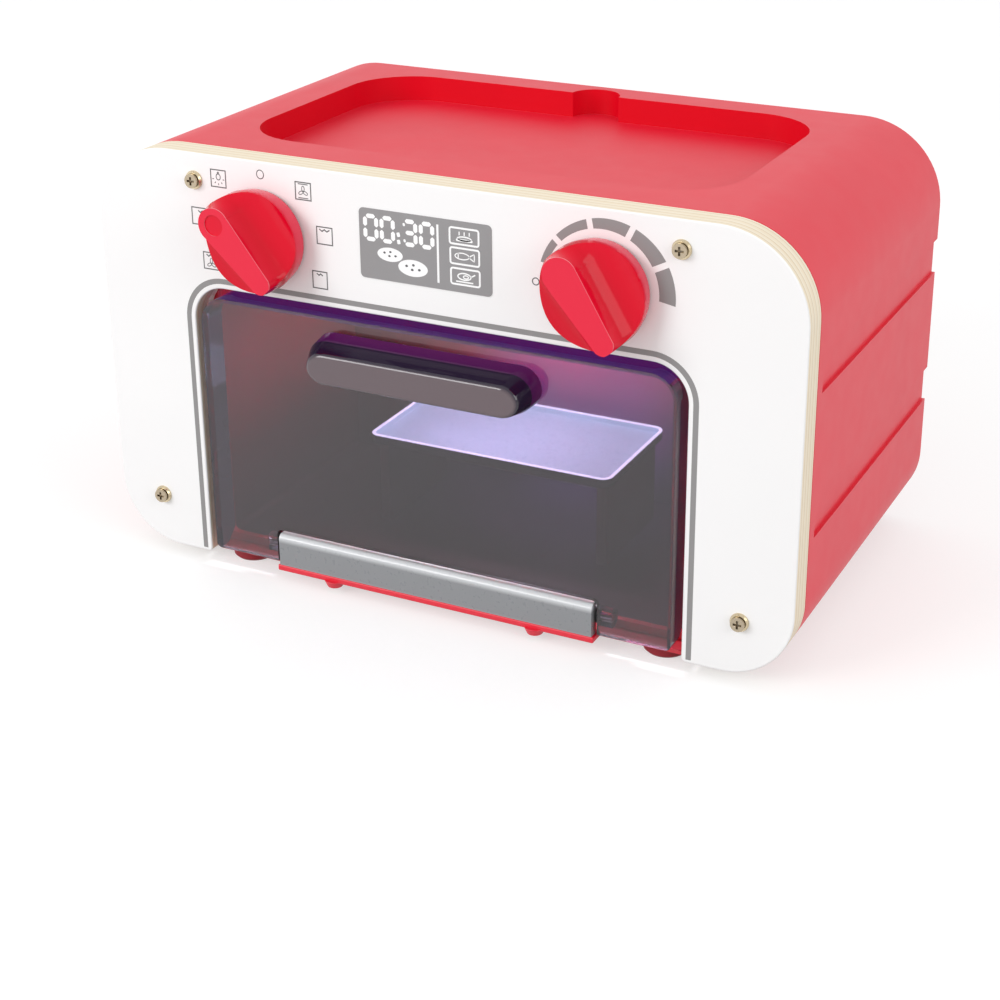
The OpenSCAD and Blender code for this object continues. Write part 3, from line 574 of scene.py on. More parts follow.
def tinted_plastic():
    """Polished see-through plastic of a dark purple smoke tint."""
    made = Finish("tinted_door_plastic")
    made.colour(made.ramp(made.noise(16, 2), [(0.3, tint("8a7b8c")), (0.7, tint("917f92"))]))
    made.roughness(made.spread(made.noise(120, 3), 0.015, 0.05))
    made.set(Transmission_Weight=1.0, IOR=1.5, Coat_Weight=0.55, Coat_Roughness=0.02)
    return made.material


def edge_painted_glow(name, code, glow, strength):
    """The walls of the door, with a painted glow that stands for the lamp's light carried to their
    edges.
    """
    made = Finish(name)
    base = tint(code)
    made.colour(made.ramp(made.noise(30, 2), [(0.3, [v * 0.8 for v in base]), (0.7, base)]))
    made.roughness(made.spread(made.noise(160, 3), 0.05, 0.12))
    # The emission is a painted glow; the walls are no lamps.
    made.set(
        Transmission_Weight=0.4,
        IOR=1.5,
        Coat_Weight=0.5,
        Coat_Roughness=0.02,
        Emission_Color=[*tint(glow), 1],
        Emission_Strength=strength,
    )
    return made.material


def glowing(name, code, light, strength, rough=0.3, transmission=0.3):
    """Frosted plastic with light in it."""
    made = Finish(name)
    base = tint(code)
    made.colour(made.ramp(made.noise(60, 3), [(0.3, [v * 0.92 for v in base]), (0.7, base)]))
    made.roughness(made.spread(made.noise(400, 3), rough - 0.05, rough + 0.05))
    made.bump(made.noise(2200, 2), 0.00001, 0.4)
    made.set(
        Transmission_Weight=transmission,
        IOR=1.5,
        Emission_Color=[*tint(light), 1],
        Emission_Strength=strength,
    )
    return made.material


RED = plastic("red_case_plastic", "de002a", 0.46, shade=0.04, shine=0.86)
# The recess walls are painted a deeper red with little sheen: painted shade, standing for the red
# that they reflect from the recess.
RED_RECESS = plastic("red_recess_wall_painted_shade", "d4001c", 0.5, shade=0.04, shine=0.15)
RED_GLOSS = knob_painted_light()
RED_LINER = liner_painted_shade_and_glow()
LINER_BACK = plastic("red_liner_back_plastic", "3c0a14", 0.5)
RED_FOOT = plastic("red_foot_rubber", "8e1222", 0.6, grain=0.00003)
WOOD = lacquered_plywood()
TINTED = tinted_plastic()
HANDLE = handle_painted_glow()
TOP_WALL = edge_painted_glow("door_top_wall_painted_glow", "3c1a5a", "5e3096", 0.26)
SIDE_WALL = edge_painted_glow("door_side_wall_painted_glow", "6a6f7c", "5a2aa0", 0.02)
# The notch walls are painted near black as painted shade, for the dark gap over the bar.
NOTCH_WALL = plastic("door_notch_painted_shade", "181214", 0.35, grain=0.000004, shine=0.3)
GREY_BAR = bar_painted_highlight()
SCREW_HEAD = screw_head("nickel_screw_head_painted_shade", "b3a58f", "2e2722", -2.4)
NICKEL = metal("nickel_plated_steel", "b5ab9a", 0.28)
BRASS = metal("pale_brass_plate", "d9c9a8", 0.22)
STEEL = metal("bright_steel", "b9b9b8", 0.22)
BLACK = plastic("black_moulded_plastic", "1b1b1d", 0.5, grain=0.00003)
DARK = plastic("dark_stand_plastic", "4a101c", 0.5)
WHITE = plastic("white_moulded_plastic", "e8e8e6", 0.4)
BOARD = plastic("green_circuit_board", "12482b", 0.35, coat=0.4, shade=0.25)
SLEEVE = plastic("gold_cell_sleeve", "b88a2a", 0.25, coat=0.5, shade=0.2)
INK_GREY = plastic("grey_print_ink", "8f8d8d", 0.6, grain=0.000004)
INK_DARK = plastic("dark_print_ink", "5c5c5e", 0.6, grain=0.000004)
INK_WHITE = plastic("white_print_ink", "fcfcfc", 0.5, grain=0.000004)
LABEL = plastic("grey_display_label", "929091", 0.5, grain=0.000004)
GLOW = glowing("lit_tray_plastic", "9fb2c8", "b4d8ea", 1.2, transmission=0)
GLOW_RIM = glowing("lit_tray_rim_plastic", "d4dcf0", "e2ecff", 3.2)
TRAY_SIDE = plastic("lit_tray_side_plastic", "2c2834", 0.2)
LAMP = glowing("lamp_window_plastic", "b9a4ef", "8a5cff", 3.0)
LED = glowing("violet_led", "a98cf2", "8a5cff", 2.0)


def dress(piece, material):
    piece.data.materials.clear()
    piece.data.materials.append(material)
    return piece


def dress_by_place(piece, materials, choose):
    """Gives each face the one of the materials that choose picks for the face's place in mm."""
    dress(piece, materials[0])
    for material in materials[1:]:
        piece.data.materials.append(material)
    for face in piece.data.polygons:
        face.material_index = materials.index(choose(mm(face.center)))


def hand_over(piece, body, material=None, node=None):
    """Gives a finished piece its material, the body it rides on and the node it stands for."""
    if material:
        dress(piece, material)
    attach(piece, body)
    if node:
        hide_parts(node)
    return piece


# Camera


def make_camera():
    """The photograph's view: fitted to the panel's edges, the recess and the door."""
    side, tilt, lean = 26.097114 * DEG, 22.314366 * DEG, -0.171901 * DEG
    back = Vector(
        (math.sin(side) * math.cos(tilt), -math.cos(side) * math.cos(tilt), math.sin(tilt))
    )
    across = Vector((math.cos(side), math.sin(side), 0))
    upward = back.cross(across)
    right = math.cos(lean) * across + math.sin(lean) * upward
    up = math.cos(lean) * upward - math.sin(lean) * across
    bpy.ops.object.camera_add(location=(0, 0, 0))
    camera = bpy.context.object
    camera.name = "view_camera"
    camera.matrix_world = Matrix.Translation((0.3738, -0.74725, 0.4146)) @ Matrix(
        (right, up, back)
    ).transposed().to_4x4()
    camera.data.sensor_width = 36
    camera.data.lens = 70.379
    camera.data.shift_x = -0.03
    camera.data.shift_y = -0.10
    camera.data.clip_start = 0.05
    camera.data.clip_end = 20
    bpy.context.scene.camera = camera


# Case


def side_band(side, low):
    """A cutter for one sunk band: its upper front corner is round."""
    front, height, depth, corner = 20, 16, 1.5, 14
    band = block(
        "band",
        (side * HALF_WIDTH - depth, front, low),
        (side * HALF_WIDTH + depth, PAST_BACK, low + height),
    )
    return round_edges(
        band,
        corner,
        12,
        lambda middle, run: abs(run.x) > 1
        and middle.y < front + 1
        and middle.z > low + height - 1,
    )


def bar_boss(x):
    """The boss under the hinge bar for one of its screws: it narrows towards the floor."""
    y, low, high, radius = -0.8, -2, 1.4, 4.9
    seat_top, seat_radius = -0.2, 2.9
    boss = rod("bump", (x, y, low), (x, y, high), radius)
    pick_faces(boss, lambda middle, normal: normal.z < -0.9)
    bpy.ops.transform.resize(value=(0.7, 0.7, 1), center_override=at(x, y, low))
    close_edit()
    cut(boss, rod("screw_seat", (x, y, low - 1), (x, y, seat_top), seat_radius))
    return soften(boss, 0.35, 3)


def cut_recess(case):
    """Sinks the recess into the top of the case, with the finger notch in its back wall."""
    over = TOP + 4
    recess = block(
        "recess",
        (-RECESS_HALF, RECESS_FRONT, RECESS_FLOOR),
        (RECESS_HALF, RECESS_BACK, over),
    )
    round_edges(recess, RECESS_CORNER, 16, lambda middle, run: abs(run.z) > 1)
    cut(case, recess)
    y = RECESS_BACK - 1
    cut(case, rod("finger_notch", (0, y, RECESS_FLOOR), (0, y, over), FINGER_NOTCH, 48))


def make_case():
    case = slab(
        "case_shell", HALF_WIDTH, 0, TOP, PANEL_DEPTH, CASE_BACK, TOP_CORNER, LOW_CORNER, 20
    )
    for side in (-1, 1):
        for low in (58.5, 121.5):
            cut(case, side_band(side, low))
    inside = HALF_WIDTH - CASE_WALL
    wall_front = PANEL_DEPTH + CASE_WALL
    low_round = LOW_CORNER - CASE_WALL
    top_round = TOP_CORNER - CASE_WALL
    cut(case, slab("hollow", inside, CASE_WALL, 176.4, wall_front, PAST_BACK, 30, low_round, 10))
    cut(
        case,
        slab(
            "back_seat",
            inside,
            CASE_WALL,
            TOP - CASE_WALL,
            181.7,
            PAST_BACK,
            top_round,
            low_round,
            20,
        ),
    )
    cut(case, slab("mouth", *SPACE, 10, 20, SPACE_CORNER, SPACE_CORNER, 4))
    cut_recess(case)
    soften(case, 0.9, 3)
    lip = soften(block("lip", (-RECESS_HALF, 5, 0), (RECESS_HALF, 15, 1.9)), 0.3, 2)
    tongue = soften(block("tongue", (-78.5, -3.6, 0.6), (78.5, 6, 3.4)), 0.6, 3)
    case = join("case_shell", [case, lip, tongue, bar_boss(-50), bar_boss(50)])
    dress_by_place(case, [RED, RED_RECESS], case_finish)
    hand_over(case, "case", None, "body_shell")


def case_finish(place):
    """The walls of the recess are painted a deeper, less glossy red as painted shade, for the red
    case that they reflect.
    """
    reach = RECESS_BACK + FINGER_NOTCH
    within = abs(place.x) < RECESS_HALF + 1 and RECESS_FRONT - 1 < place.y < reach
    if within and RECESS_FLOOR + 0.3 < place.z < TOP - 0.5:
        return RED_RECESS
    return RED


def make_panel():
    panel = slab(
        "wooden_front", HALF_WIDTH, 0, TOP, 0, PANEL_DEPTH, TOP_CORNER, LOW_CORNER, 20
    )
    before, behind = -2, PANEL_DEPTH + 2
    cut(panel, slab("opening", OPENING_HALF, -30, OPENING_TOP, before, behind, 16, 5, 14))
    for x in (-KNOB_X, KNOB_X):
        cut(panel, rod("knob_hole", (x, before, KNOB_Z), (x, behind, KNOB_Z), 7.5))
    round_edges(
        panel,
        2,
        6,
        lambda middle, run: abs(run.y) > 1
        and abs(abs(middle.x) - OPENING_HALF) < 0.01
        and middle.z < 0.01,
    )
    soften(panel, 0.7, 3)
    hand_over(panel, "case", WOOD, "front_panel")


# Printed marks


def plate(x, z, width, height, turn=0, corner=0, face=0.0):
    """A thin flat mark on the panel or the label, turned by an angle as seen from the front."""
    clear()
    bpy.ops.mesh.primitive_cube_add(
        size=1,
        location=at(x, face, z),
        rotation=(0, -turn * DEG, 0),
        scale=(width * MM, INK * MM, height * MM),
    )
    piece = settle("mark")
    if corner:
        round_edges(piece, corner, 4, along_depth)
    return piece


def oval(x, z, across, upright=None, face=0.0, sides=36, thick=INK, turn=0):
    """A thin flat round or oval mark, turned by an angle as seen from the front."""
    clear()
    bpy.ops.mesh.primitive_cylinder_add(
        vertices=sides,
        radius=MM,
        depth=thick * MM,
        location=at(x, face, z),
        rotation=(math.pi / 2, -turn * DEG, 0),
        scale=(across, upright or across, 1),
    )
    return settle("mark")


def ring(x, z, across, line, upright=None, face=0.0, turn=0):
    upright = upright or across
    return cut(
        oval(x, z, across, upright, face, turn=turn),
        oval(x, z, across - line, upright - line, face, thick=3 * INK, turn=turn),
    )


def frame_mark(x, z, width, height, line, corner=0, face=0.0):
    """The outline of a box."""
    piece = plate(x, z, width, height, 0, corner, face)
    inner = block(
        "inner",
        (x - width / 2 + line, face - INK, z - height / 2 + line),
        (x + width / 2 - line, face + INK, z + height / 2 - line),
    )
    if corner > line:
        round_edges(inner, corner - line, 4, along_depth)
    return cut(piece, inner)


def zigzag(x, z, step, rise, strokes, line=0.5):
    """A row of short slanted strokes."""
    made = []
    for i in range(strokes):
        turn = math.degrees(math.atan2(rise, step)) * (-1 if i % 2 == 0 else 1)
        place = x + (i - (strokes - 1) / 2) * step
        made.append(plate(place, z, math.hypot(step, rise) + line / 2, line, turn))
    return made


def petals(x, z):
    """Three petals round a hub, for a fan."""
    made = []
    for turn in (0, 118, -118):
        sway = -1.25 * math.sin(turn * DEG), 1.25 * math.cos(turn * DEG)
        made.append(ring(x + sway[0], z + sway[1], 0.8, 0.34, 1.3, turn=turn))
    return made


def selector_marks():
    box, line = 8.0, 0.5
    lamp = [frame_mark(-100, 181, box, box, line), ring(-100, 181.7, 1.25, 0.4, 1.5)]
    lamp.append(plate(-100, 183.5, 0.9, 0.9, 45))
    for turn in (-75, -38, 0, 38, 75):
        sway = math.sin(turn * DEG)
        lamp.append(plate(-100 + 2.7 * sway, 181.4 - 2.9 * math.cos(turn * DEG), 0.4, 0.8, turn))
    fan = [frame_mark(-57.6, 180.7, box, box, line), *petals(-57.6, 180.5)]
    fan += [plate(-57.6, 180.7 + side * 3.0, 4.8, 0.4) for side in (-1, 1)]
    grill = [frame_mark(-48, 162.5, box, box, line), *zigzag(-48, 164.8, 1.2, 0.8, 4)]
    small_grill = [frame_mark(-51.2, 142.6, 7.6, box, line), *zigzag(-51.2, 145, 0.9, 0.7, 3)]
    left = [frame_mark(-111.1, 162.9, box, box, line), *zigzag(-110, 165, 1.0, 0.8, 3)]
    low = [frame_mark(-106.6, 143.2, box, box, line), *zigzag(-107.2, 145.6, 1.0, 0.8, 3)]
    low += petals(-106.4, 142)
    off = [ring(-78.6, 185.4, 1.95, 0.42, 2.1)]
    return lamp + fan + grill + small_grill + left + low + off


def timer_marks():
    """A growing arc in five parts round the right knob, and an open circle for off."""
    arc = oval(KNOB_X + 1.93, KNOB_Z - 0.52, 29.6, sides=160)
    cut(arc, oval(KNOB_X, KNOB_Z, 24.6, sides=128, thick=3 * INK))
    for angle in (138, 101.5, 64, 26.7):
        away = 27 * math.cos(angle * DEG), 27 * math.sin(angle * DEG)
        gap = plate(KNOB_X + away[0], KNOB_Z + away[1], 14, 2.5, angle)
        only(gap)
        gap.scale = (1, 1, 1)
        cut(arc, thicken(gap))
    below = plate(KNOB_X + 5, KNOB_Z - 38.6, 100, 80, -10)
    cut(arc, thicken(below))
    off = ring(50.3, 156.9, 1.7, 0.45)
    return [smooth(arc)], [off]


def thicken(mark):
    """Makes a flat mark thick enough to cut others with."""
    pick_faces(mark, lambda middle, normal: abs(normal.y) > 0.9)
    bpy.ops.transform.resize(value=(1, 4, 1), center_override=at(0, 0, 0))
    close_edit()
    return mark


def door_line():
    """The grey line round the opening."""
    line = slab("line", 121.5, 1.5, 135.7, -INK / 2, INK / 2, 20.5, 0.4, 16)
    inner = slab("line_inside", 119.1, -10, 133.3, -1, 1, 18.1, 1, 16)
    return [cut(line, inner)]


def digit(x, lit):
    """A seven-part figure of the display; lit names its parts by letter."""
    places = {
        "a": (0, 4.95, 4.2, 1.9),
        "g": (0, 0.05, 3.9, 1.9),
        "d": (0, -4.9, 4.2, 1.9),
        "f": (-2.65, 2.45, 1.9, 4.0),
        "b": (2.65, 2.45, 1.9, 4.0),
        "e": (-2.65, -2.4, 1.9, 4.0),
        "c": (2.65, -2.4, 1.9, 4.0),
    }
    made = []
    for part in lit:
        dx, dz, width, height = places[part]
        bar = plate(x + dx, 169.35 + dz, width, height, 0, 0, LABEL_FACE)
        made.append(round_edges(bar, 0.72, 1, along_depth))
    return made


def display_marks():
    face = LABEL_FACE
    made = digit(-25.2, "abcdef") + digit(-17.35, "abcdef")
    made += digit(-6.8, "abgcd") + digit(1.05, "abcdef")
    for x, z, size in (
        (-12.2, 168, 1.9),
        (-12.1, 164.9, 1.9),
        (-9.5, 172.7, 1.3),
        (-9.3, 165.8, 1.3),
    ):
        made.append(plate(x, z, size * 0.8, size, 12, 0.4, face))
    made.append(oval(-16.4, 158.8, 6.0, 3.0, face))
    made.append(oval(-5.7, 154.4, 6.95, 3.6, face))
    made.append(plate(6.15, 162.35, 0.95, 24.9, 0, 0, face))
    for x, z in ((18.3, 171.2), (18.5, 162.75), (18.65, 154.05)):
        made.append(frame_mark(x, z, 14, 7.6, 0.8, 1.3, face))
    # A dish with steam
    made.append(plate(18.4, 169.6, 7.6, 1.1, 0, 0.5, face))
    made.append(ring(18.4, 170.3, 3.4, 0.6, 1.1, face))
    made += [plate(18.4 + i * 2.3, 172.4, 0.5, 1.6, 0, 0.2, face) for i in (-1, 0, 1)]
    # A fish
    made.append(ring(17.3, 162.8, 3.5, 0.5, 1.6, face))
    made.append(plate(15.5, 163, 0.5, 2.2, 0, 0.2, face))
    made += [plate(21.7, 162.75 + side * 0.9, 3.0, 0.5, side * 32, 0.2, face) for side in (-1, 1)]
    made.append(plate(22.9, 162.75, 0.5, 3.4, 0, 0.2, face))
    # A roast on a plate
    made.append(ring(18.2, 154.2, 3.3, 0.6, 1.7, face))
    made.append(ring(18.9, 154.1, 1.4, 0.5, 0.9, face))
    made.append(plate(22.2, 155, 2.4, 0.6, 30, 0.25, face))
    made.append(plate(18.3, 151.9, 8, 0.6, 0, 0.25, face))
    return made


def oval_dots():
    face = LABEL_FACE - INK
    made = []
    for x, z, size in ((-16.4, 158.8, 1.0), (-5.7, 154.4, 1.15)):
        for dx, dz in ((-2.6, 0.6), (0.2, 1.2), (-0.3, -0.6), (2.6, -0.3)):
            made.append(oval(x + dx * size, z + dz * size, 0.55 * size, 0.45 * size, face, 16))
    return made


def make_print():
    arcs, off = timer_marks()
    lines = join("panel_lines_print", door_line() + arcs)
    hand_over(lines, "case", INK_GREY)
    marks = join("panel_marks_print", selector_marks() + off)
    hand_over(marks, "case", INK_DARK)
    shown = join("display_print", display_marks())
    hand_over(shown, "case", INK_WHITE)
    dots = join("display_dots_print", oval_dots())
    hand_over(dots, "case", INK_DARK)


def make_label():
    label = plate(0, 162.4, 61.5, 30.3, 0, 2, LABEL_FACE / 2)
    pick_faces(label, lambda middle, normal: abs(normal.y) > 0.9)
    bpy.ops.transform.resize(value=(1, 0.3 / INK, 1), center_override=at(0, LABEL_FACE / 2, 0))
    close_edit()
    label.name = "display_plate"
    hand_over(smooth(label), "case", LABEL, "display_label")


# Door


def handle_form(name, wall, front):
    """The hump of the handle; wall moves its sides in, and front is how far out it ends."""
    low, top = HANDLE_LOW + wall, HANDLE_TOP - wall
    half = HANDLE_HALF - wall
    back = 1.2 if wall == 0 else 3
    middle_z = (HANDLE_LOW + HANDLE_TOP) / 2
    # The hump's width and height at the door, at its step and at its front, and how far they drop
    foot_wide, foot_high = 2 * HANDLE_HALF, HANDLE_TOP - HANDLE_LOW
    step_wide, step_high, step_drop = 106, 17.4, 1.04
    front_wide, front_high, front_drop = 99, 13.6, 1.56
    form = block(name, (-half, HANDLE_STEP, low), (half, back, top))
    radius = (top - low) / 2 - 0.02
    round_edges(form, radius, 12, lambda middle, run: abs(run.y) > 1)
    pick_faces(form, lambda middle, normal: True)
    bpy.ops.mesh.remove_doubles(threshold=0.06 * MM)
    close_edit()
    pick_faces(form, lambda middle, normal: normal.y < -0.9)
    bpy.ops.transform.resize(
        value=(step_wide / foot_wide, 1, step_high / foot_high),
        center_override=at(0, HANDLE_STEP, middle_z),
    )
    bpy.ops.transform.translate(value=(0, 0, -step_drop * MM))
    reach = (front - HANDLE_STEP) * MM
    bpy.ops.mesh.extrude_region_move(TRANSFORM_OT_translate={"value": (0, reach, 0)})
    bpy.ops.transform.resize(
        value=(front_wide / step_wide, 1, front_high / step_high),
        center_override=at(0, front, middle_z - step_drop),
    )
    bpy.ops.transform.translate(value=(0, 0, -front_drop * MM))
    close_edit()
    if wall == 0:
        round_edges(
            form,
            1.5,
            4,
            lambda middle, run: middle.y < front + 0.01,
        )
    return form


def make_door():
    corner, ear = 12, 6
    inside, ceiling, inner_corner = (v - DOOR_WALL for v in (DOOR_HALF, DOOR_TOP, corner))
    door = slab("oven_door", DOOR_HALF, DOOR_LOW, DOOR_TOP, DOOR_FACE, DOOR_BACK, corner, 2.5, 14)
    cut(door, slab("inside", inside, -20, ceiling, DOOR_INNER_FACE, 14, inner_corner, 2, 12))
    # The walls are cut off at a slant low at the back, so that the door clears the case as it turns
    pick_edges(door, lambda middle, run: True)
    bpy.ops.mesh.bisect(
        plane_co=at(0, 6, DOOR_LOW), plane_no=(0, 6.8, -7.3), clear_outer=True, use_fill=True
    )
    close_edit()
    cut(door, slab("bar_notch", NOTCH_HALF, -20, NOTCH_TOP, -3, 16, 3, 2, 6))
    add(door, handle_form("hump", 0, HANDLE_FRONT))
    cut(door, handle_form("hump_hollow", 2.4, HANDLE_FRONT + 4.5))
    for side in (-1, 1):
        start = (side * NOTCH_HALF, HINGE_Y, HINGE_Z)
        end = (side * (NOTCH_HALF + ear), HINGE_Y, HINGE_Z)
        add(door, rod("ear", start, end, 4.4, 40))
    cut(door, hinge_hole("hinge_hole", 2.06))
    soften(door, 0.5, 3)
    dress_by_place(door, [TINTED, HANDLE, TOP_WALL, SIDE_WALL, NOTCH_WALL], door_finish)
    hand_over(door, "door", None, "door")


def door_finish(place):
    """The hump and the walls get painted glow, the notch for the bar painted shade, and the rest
    the clear tint.
    """
    by_handle = abs(place.x) < HANDLE_HALF + 2 and HANDLE_LOW - 2 < place.z < HANDLE_TOP + 1
    if place.y < DOOR_FACE - 0.4 or by_handle and place.y < DOOR_FACE - 0.05:
        return HANDLE
    if abs(place.x) < NOTCH_HALF + 0.55 and place.z < NOTCH_TOP + 0.55:
        return NOTCH_WALL
    on_wall = place.y > DOOR_INNER_FACE + 0.1
    if on_wall and place.z > 123:
        return TOP_WALL
    if on_wall and (abs(place.x) > 110 or place.z < 9):
        return SIDE_WALL
    return TINTED


def hinge_hole(name, radius):
    """A cutter for the hinge rod, along the whole hinge."""
    return rod(name, (-HINGE_HALF, HINGE_Y, HINGE_Z), (HINGE_HALF, HINGE_Y, HINGE_Z), radius, 32)


def make_hinge_bar():
    lug = 7.6
    bar = block(
        "hinge_bar_cover", (-BAR_HALF, BAR_FRONT, BAR_LOW), (BAR_HALF, BAR_BACK, BAR_TOP)
    )
    round_edges(
        bar,
        2.6,
        6,
        lambda middle, run: abs(run.x) > 1
        and middle.y < BAR_FRONT + 0.2
        and middle.z > BAR_TOP - 0.4,
    )
    for x in (-BAR_HALF, -lug / 2, BAR_HALF - lug):
        add(bar, rod("lug", (x, HINGE_Y, HINGE_Z), (x + lug, HINGE_Y, HINGE_Z), 4.3, 40))
    cut(bar, hinge_hole("rod_hole", 2.04))
    soften(bar, 0.8, 4)
    hand_over(bar, "case", GREY_BAR, "hinge_bar")


# Knobs


def knob_form(name, dimple):
    """A knob at the middle of the frame, its ridge upright, facing the front."""

    def spot(x, y, z):
        return (x, y - PANEL_FACE, z - FOOT_HEIGHT)

    steps = [(-1.2, 21.2), (-2, 21.5), (-8, 22.5), (-9.5, 22.4), (-KNOB_OUT, 22.2)]
    knob = rod(name, spot(0, steps[0][0], 0), spot(0, steps[0][0] - 0.2, 0), steps[0][1], 128)
    pick_faces(knob, lambda middle, normal: normal.y < -0.9)
    for (back, before), (front, radius) in zip(steps, steps[1:]):
        reach = (front - back) * MM + (0.0002 if back == steps[0][0] else 0)
        bpy.ops.mesh.extrude_region_move(TRANSFORM_OT_translate={"value": (0, reach, 0)})
        share = radius / before
        bpy.ops.transform.resize(value=(share, 1, share), center_override=(0, 0, 0))
    close_edit()
    # The ridge: wide at the pointer, narrow at the tail, between two round scoops
    scoop, pointer, pointer_r, tail, tail_r = 13, 13.5, 7.5, -17.9, 4.6
    lean = math.asin((pointer_r - tail_r) / (pointer - tail))

    def beside(z, radius, side):
        away = radius + scoop
        return Vector((side * away * math.cos(lean), -KNOB_OUT, z - away * math.sin(lean)))

    for side in (-1, 1):
        low, high = beside(tail, tail_r, side), beside(pointer, pointer_r, side)
        over = (high - low).normalized() * 3
        cut(knob, rod("scoop", spot(*(low - over)), spot(*(high + over)), scoop, 96))
    for z, radius, way in ((pointer, pointer_r, 1), (tail, tail_r, -1)):
        clear()
        bpy.ops.mesh.primitive_torus_add(
            major_radius=(radius + scoop) * MM,
            minor_radius=scoop * MM,
            major_segments=96,
            minor_segments=96,
            location=at(*spot(0, -KNOB_OUT, z)),
            rotation=(math.pi / 2, 0, 0),
        )
        turn = settle("scoop_turn")
        pick_edges(turn, lambda middle, run: True)
        bpy.ops.mesh.bisect(
            plane_co=at(*spot(*beside(z, radius, 1))),
            plane_no=(0, 0, -way),
            clear_outer=True,
            use_fill=True,
        )
        bpy.ops.mesh.select_all(action="SELECT")
        bpy.ops.mesh.normals_make_consistent(inside=False)
        close_edit()
        cut(knob, turn)
    soften(knob, 0.95, 5, 24)
    if dimple:
        cut(knob, rod("dimple", spot(0, 0.6 - KNOB_OUT, pointer), spot(0, -30, pointer), 4.6, 64))
        smooth(knob, 32)
    return knob


def make_knob(name, body, x, turn, dimple):
    knob = knob_form(name, dimple)
    only(knob)
    knob.rotation_euler = (0, -turn * DEG, 0)
    knob.location = at(x, 0, KNOB_Z)
    bpy.ops.object.transform_apply(location=True, rotation=True, scale=True)
    hand_over(knob, body, RED_GLOSS, body + "_knob")


# Inside


def make_tray():
    """The lit tray: a shallow frosted dish with a bright rim."""
    wall, corner = 1.6, 5
    middle_y, half_depth = (TRAY_FRONT + TRAY_BACK) / 2, (TRAY_BACK - TRAY_FRONT) / 2
    tray = block(
        "lit_tray", (-TRAY_HALF, TRAY_FRONT, TRAY_LOW), (TRAY_HALF, TRAY_BACK, TRAY_TOP)
    )
    round_edges(tray, corner, 8, lambda middle, run: abs(run.z) > 1)
    hollow = block(
        "dish",
        (wall - TRAY_HALF, TRAY_FRONT + wall, TRAY_LOW + wall),
        (TRAY_HALF - wall, TRAY_BACK - wall, TRAY_TOP + 4.5),
    )
    round_edges(hollow, corner - wall, 8, lambda middle, run: abs(run.z) > 1)
    cut(tray, hollow)
    soften(tray, 0.4, 3)

    def tray_finish(place):
        """Light in the dish and its rim, and a dark outside."""
        past_side = max(abs(place.x) - (TRAY_HALF - corner), 0)
        past_end = max(abs(place.y - middle_y) - (half_depth - corner), 0)
        if place.z > TRAY_TOP - 0.5:
            return GLOW_RIM
        if math.hypot(past_side, past_end) > corner - 0.6 or place.z < TRAY_LOW + 0.3:
            return TRAY_SIDE
        return GLOW

    dress_by_place(tray, [GLOW, GLOW_RIM, TRAY_SIDE], tray_finish)
    hand_over(tray, "case", None, "glow_tray")


def make_liner():
    half, front, low, back, top = 116.2, 17.05, 3.3, 132.2, 128.2
    liner = block("oven_lining", (-half, front, low), (half, back, top))
    rim, rim_back, rim_over = 8, 19.2, 6
    flange = block(
        "flange", (-half - rim, front, low), (half + rim, rim_back, top + rim_over)
    )
    add(liner, flange)
    wall = 2.2
    cut(liner, slab("space", *SPACE, 10, back - wall, SPACE_CORNER, SPACE_CORNER, 5))
    cut(liner, block("lamp_hole", (-30, 66, 120), (30, 86, 135)))
    soften(liner, 0.5, 2)
    dress_by_place(
        liner,
        [RED_LINER, LINER_BACK],
        lambda place: LINER_BACK if place.y > back - 2 else RED_LINER,
    )
    hand_over(liner, "case", None, "oven_liner")


# What keeps its solid


def dress_nodes():
    finishes = {
        SCREW_HEAD: ["panel_screws"],
        NICKEL: ["bar_screws", "liner_screws", "lamp_screws", "board_screws"],
        STEEL: [
            "hinge_rod",
            "selector_shaft",
            "timer_shaft",
            "switch_nuts",
            "cover_screws",
            "speaker_magnet",
            "battery_springs",
            "battery_plates",
            "battery_door_screw",
        ],
        BRASS: ["screw_cups"],
        BLACK: [
            "hinge_washers",
            "selector_switch",
            "timer_switch",
            "board_parts",
            "speaker_frame",
            "battery_box",
            "power_switch",
        ],
        DARK: ["tray_stand"],
        LAMP: ["lamp_window"],
        LED: ["lamp_leds"],
        BOARD: ["lamp_board", "control_board"],
        RED: ["back_cover", "battery_door"],
        SLEEVE: ["batteries"],
        WHITE: ["power_slider"],
        RED_FOOT: ["feet"],
    }
    for material, names in finishes.items():
        for name in names:
            dress(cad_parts[name], material)


# Floor and light


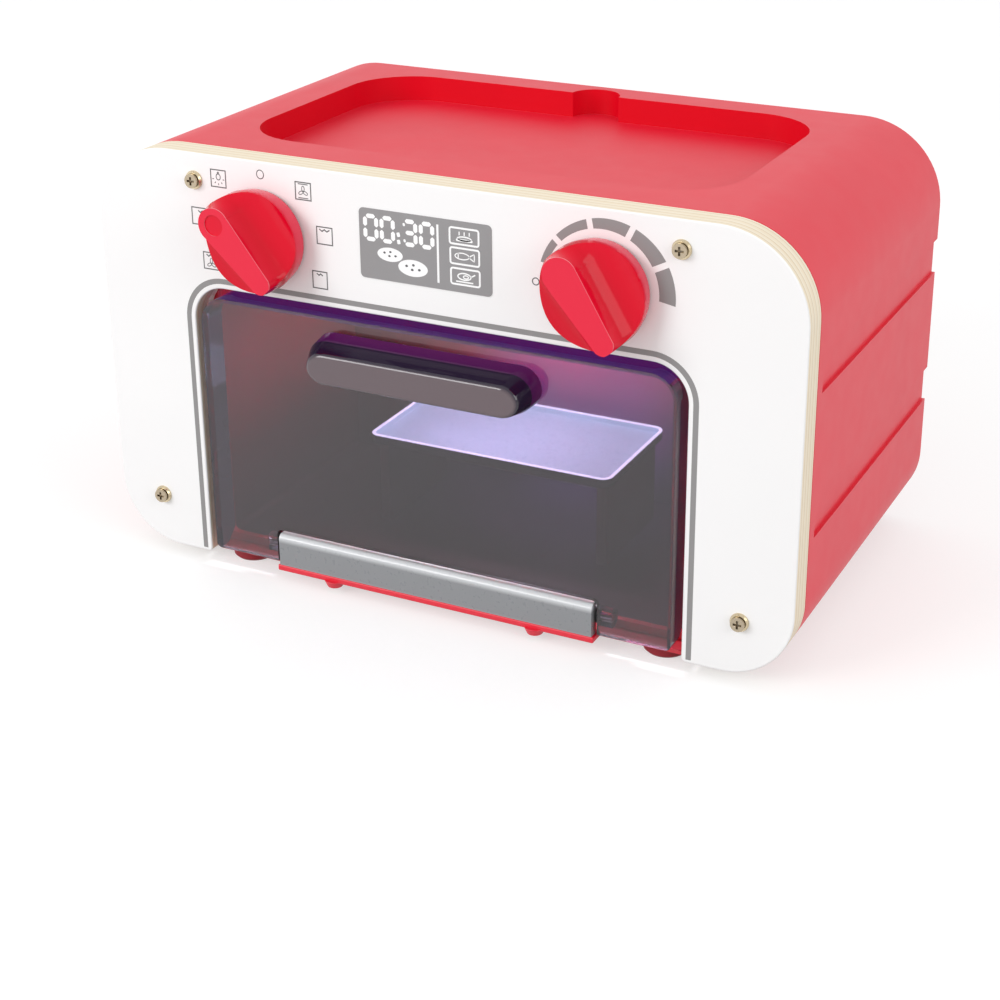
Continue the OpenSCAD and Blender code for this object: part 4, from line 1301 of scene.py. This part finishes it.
def seen(tree):
    """1 for what the camera, gloss and clear plastic see, and 0 for light on the pieces."""
    path = tree.nodes.new("ShaderNodeLightPath")
    total = path.outputs["Is Camera Ray"]
    for name in ("Is Glossy Ray", "Is Transmission Ray"):
        sum_up = tree.nodes.new("ShaderNodeMath")
        sum_up.operation = "ADD"
        sum_up.use_clamp = True
        tree.links.new(total, sum_up.inputs[0])
        tree.links.new(path.outputs[name], sum_up.inputs[1])
        total = sum_up.outputs[0]
    return total


def make_stage():
    clear()
    bpy.ops.mesh.primitive_plane_add(size=12, location=(0, 0, 0))
    floor = bpy.context.object
    floor.name = "floor"
    made = Finish("pale_floor")
    made.colour(made.ramp(made.noise(3, 2), [(0.3, (0.44,) * 3), (0.7, (0.46,) * 3)]))
    made.set(Roughness=0.7, Emission_Color=(1, 1, 1, 1))
    glow = made.spread(seen(made.tree), 0, 0.56, 0, 1)
    made.link(glow, made.shader.inputs["Emission Strength"])
    dress(floor, made.material)


def make_lamp(name, place, aim, size, power):
    clear()
    bpy.ops.object.light_add(type="AREA", location=place)
    lamp = bpy.context.object
    lamp.name = name
    lamp.data.shape = "RECTANGLE"
    lamp.data.size, lamp.data.size_y = size
    lamp.data.energy = power
    lamp.rotation_mode = "QUATERNION"
    lamp.rotation_quaternion = (Vector(aim) - Vector(place)).to_track_quat("-Z", "Y")


def make_light():
    world = bpy.data.worlds.new("plain_room")
    bpy.context.scene.world = world
    world.use_nodes = True
    backdrop = world.node_tree.nodes["Background"]
    backdrop.inputs["Color"].default_value = (1, 1, 1, 1)
    strength = world.node_tree.nodes.new("ShaderNodeMapRange")
    strength.inputs["To Min"].default_value = 0.8
    world.node_tree.links.new(seen(world.node_tree), strength.inputs["Value"])
    world.node_tree.links.new(strength.outputs["Result"], backdrop.inputs["Strength"])
    make_lamp("key_softbox", (-1.1, -1.7, 1.0), (0, 0, 0.1), (1.2, 0.8), 21.8)
    make_lamp("fill_softbox", (1.6, -0.6, 0.9), (0, 0, 0.1), (1.2, 0.9), 8.2)
    make_lamp("oven_light", at(0, 76, 125), at(0, 76, 0), (0.05, 0.016), 0.25)


make_camera()
make_case()
make_panel()
make_label()
make_print()
make_door()
make_hinge_bar()
make_knob("left_knob", "selector", -KNOB_X, SELECTOR_TURN, True)
make_knob("right_knob", "timer", KNOB_X, TIMER_TURN, False)
make_tray()
make_liner()
dress_nodes()
make_stage()
make_light()

bpy.context.scene.view_settings.view_transform = "Standard"
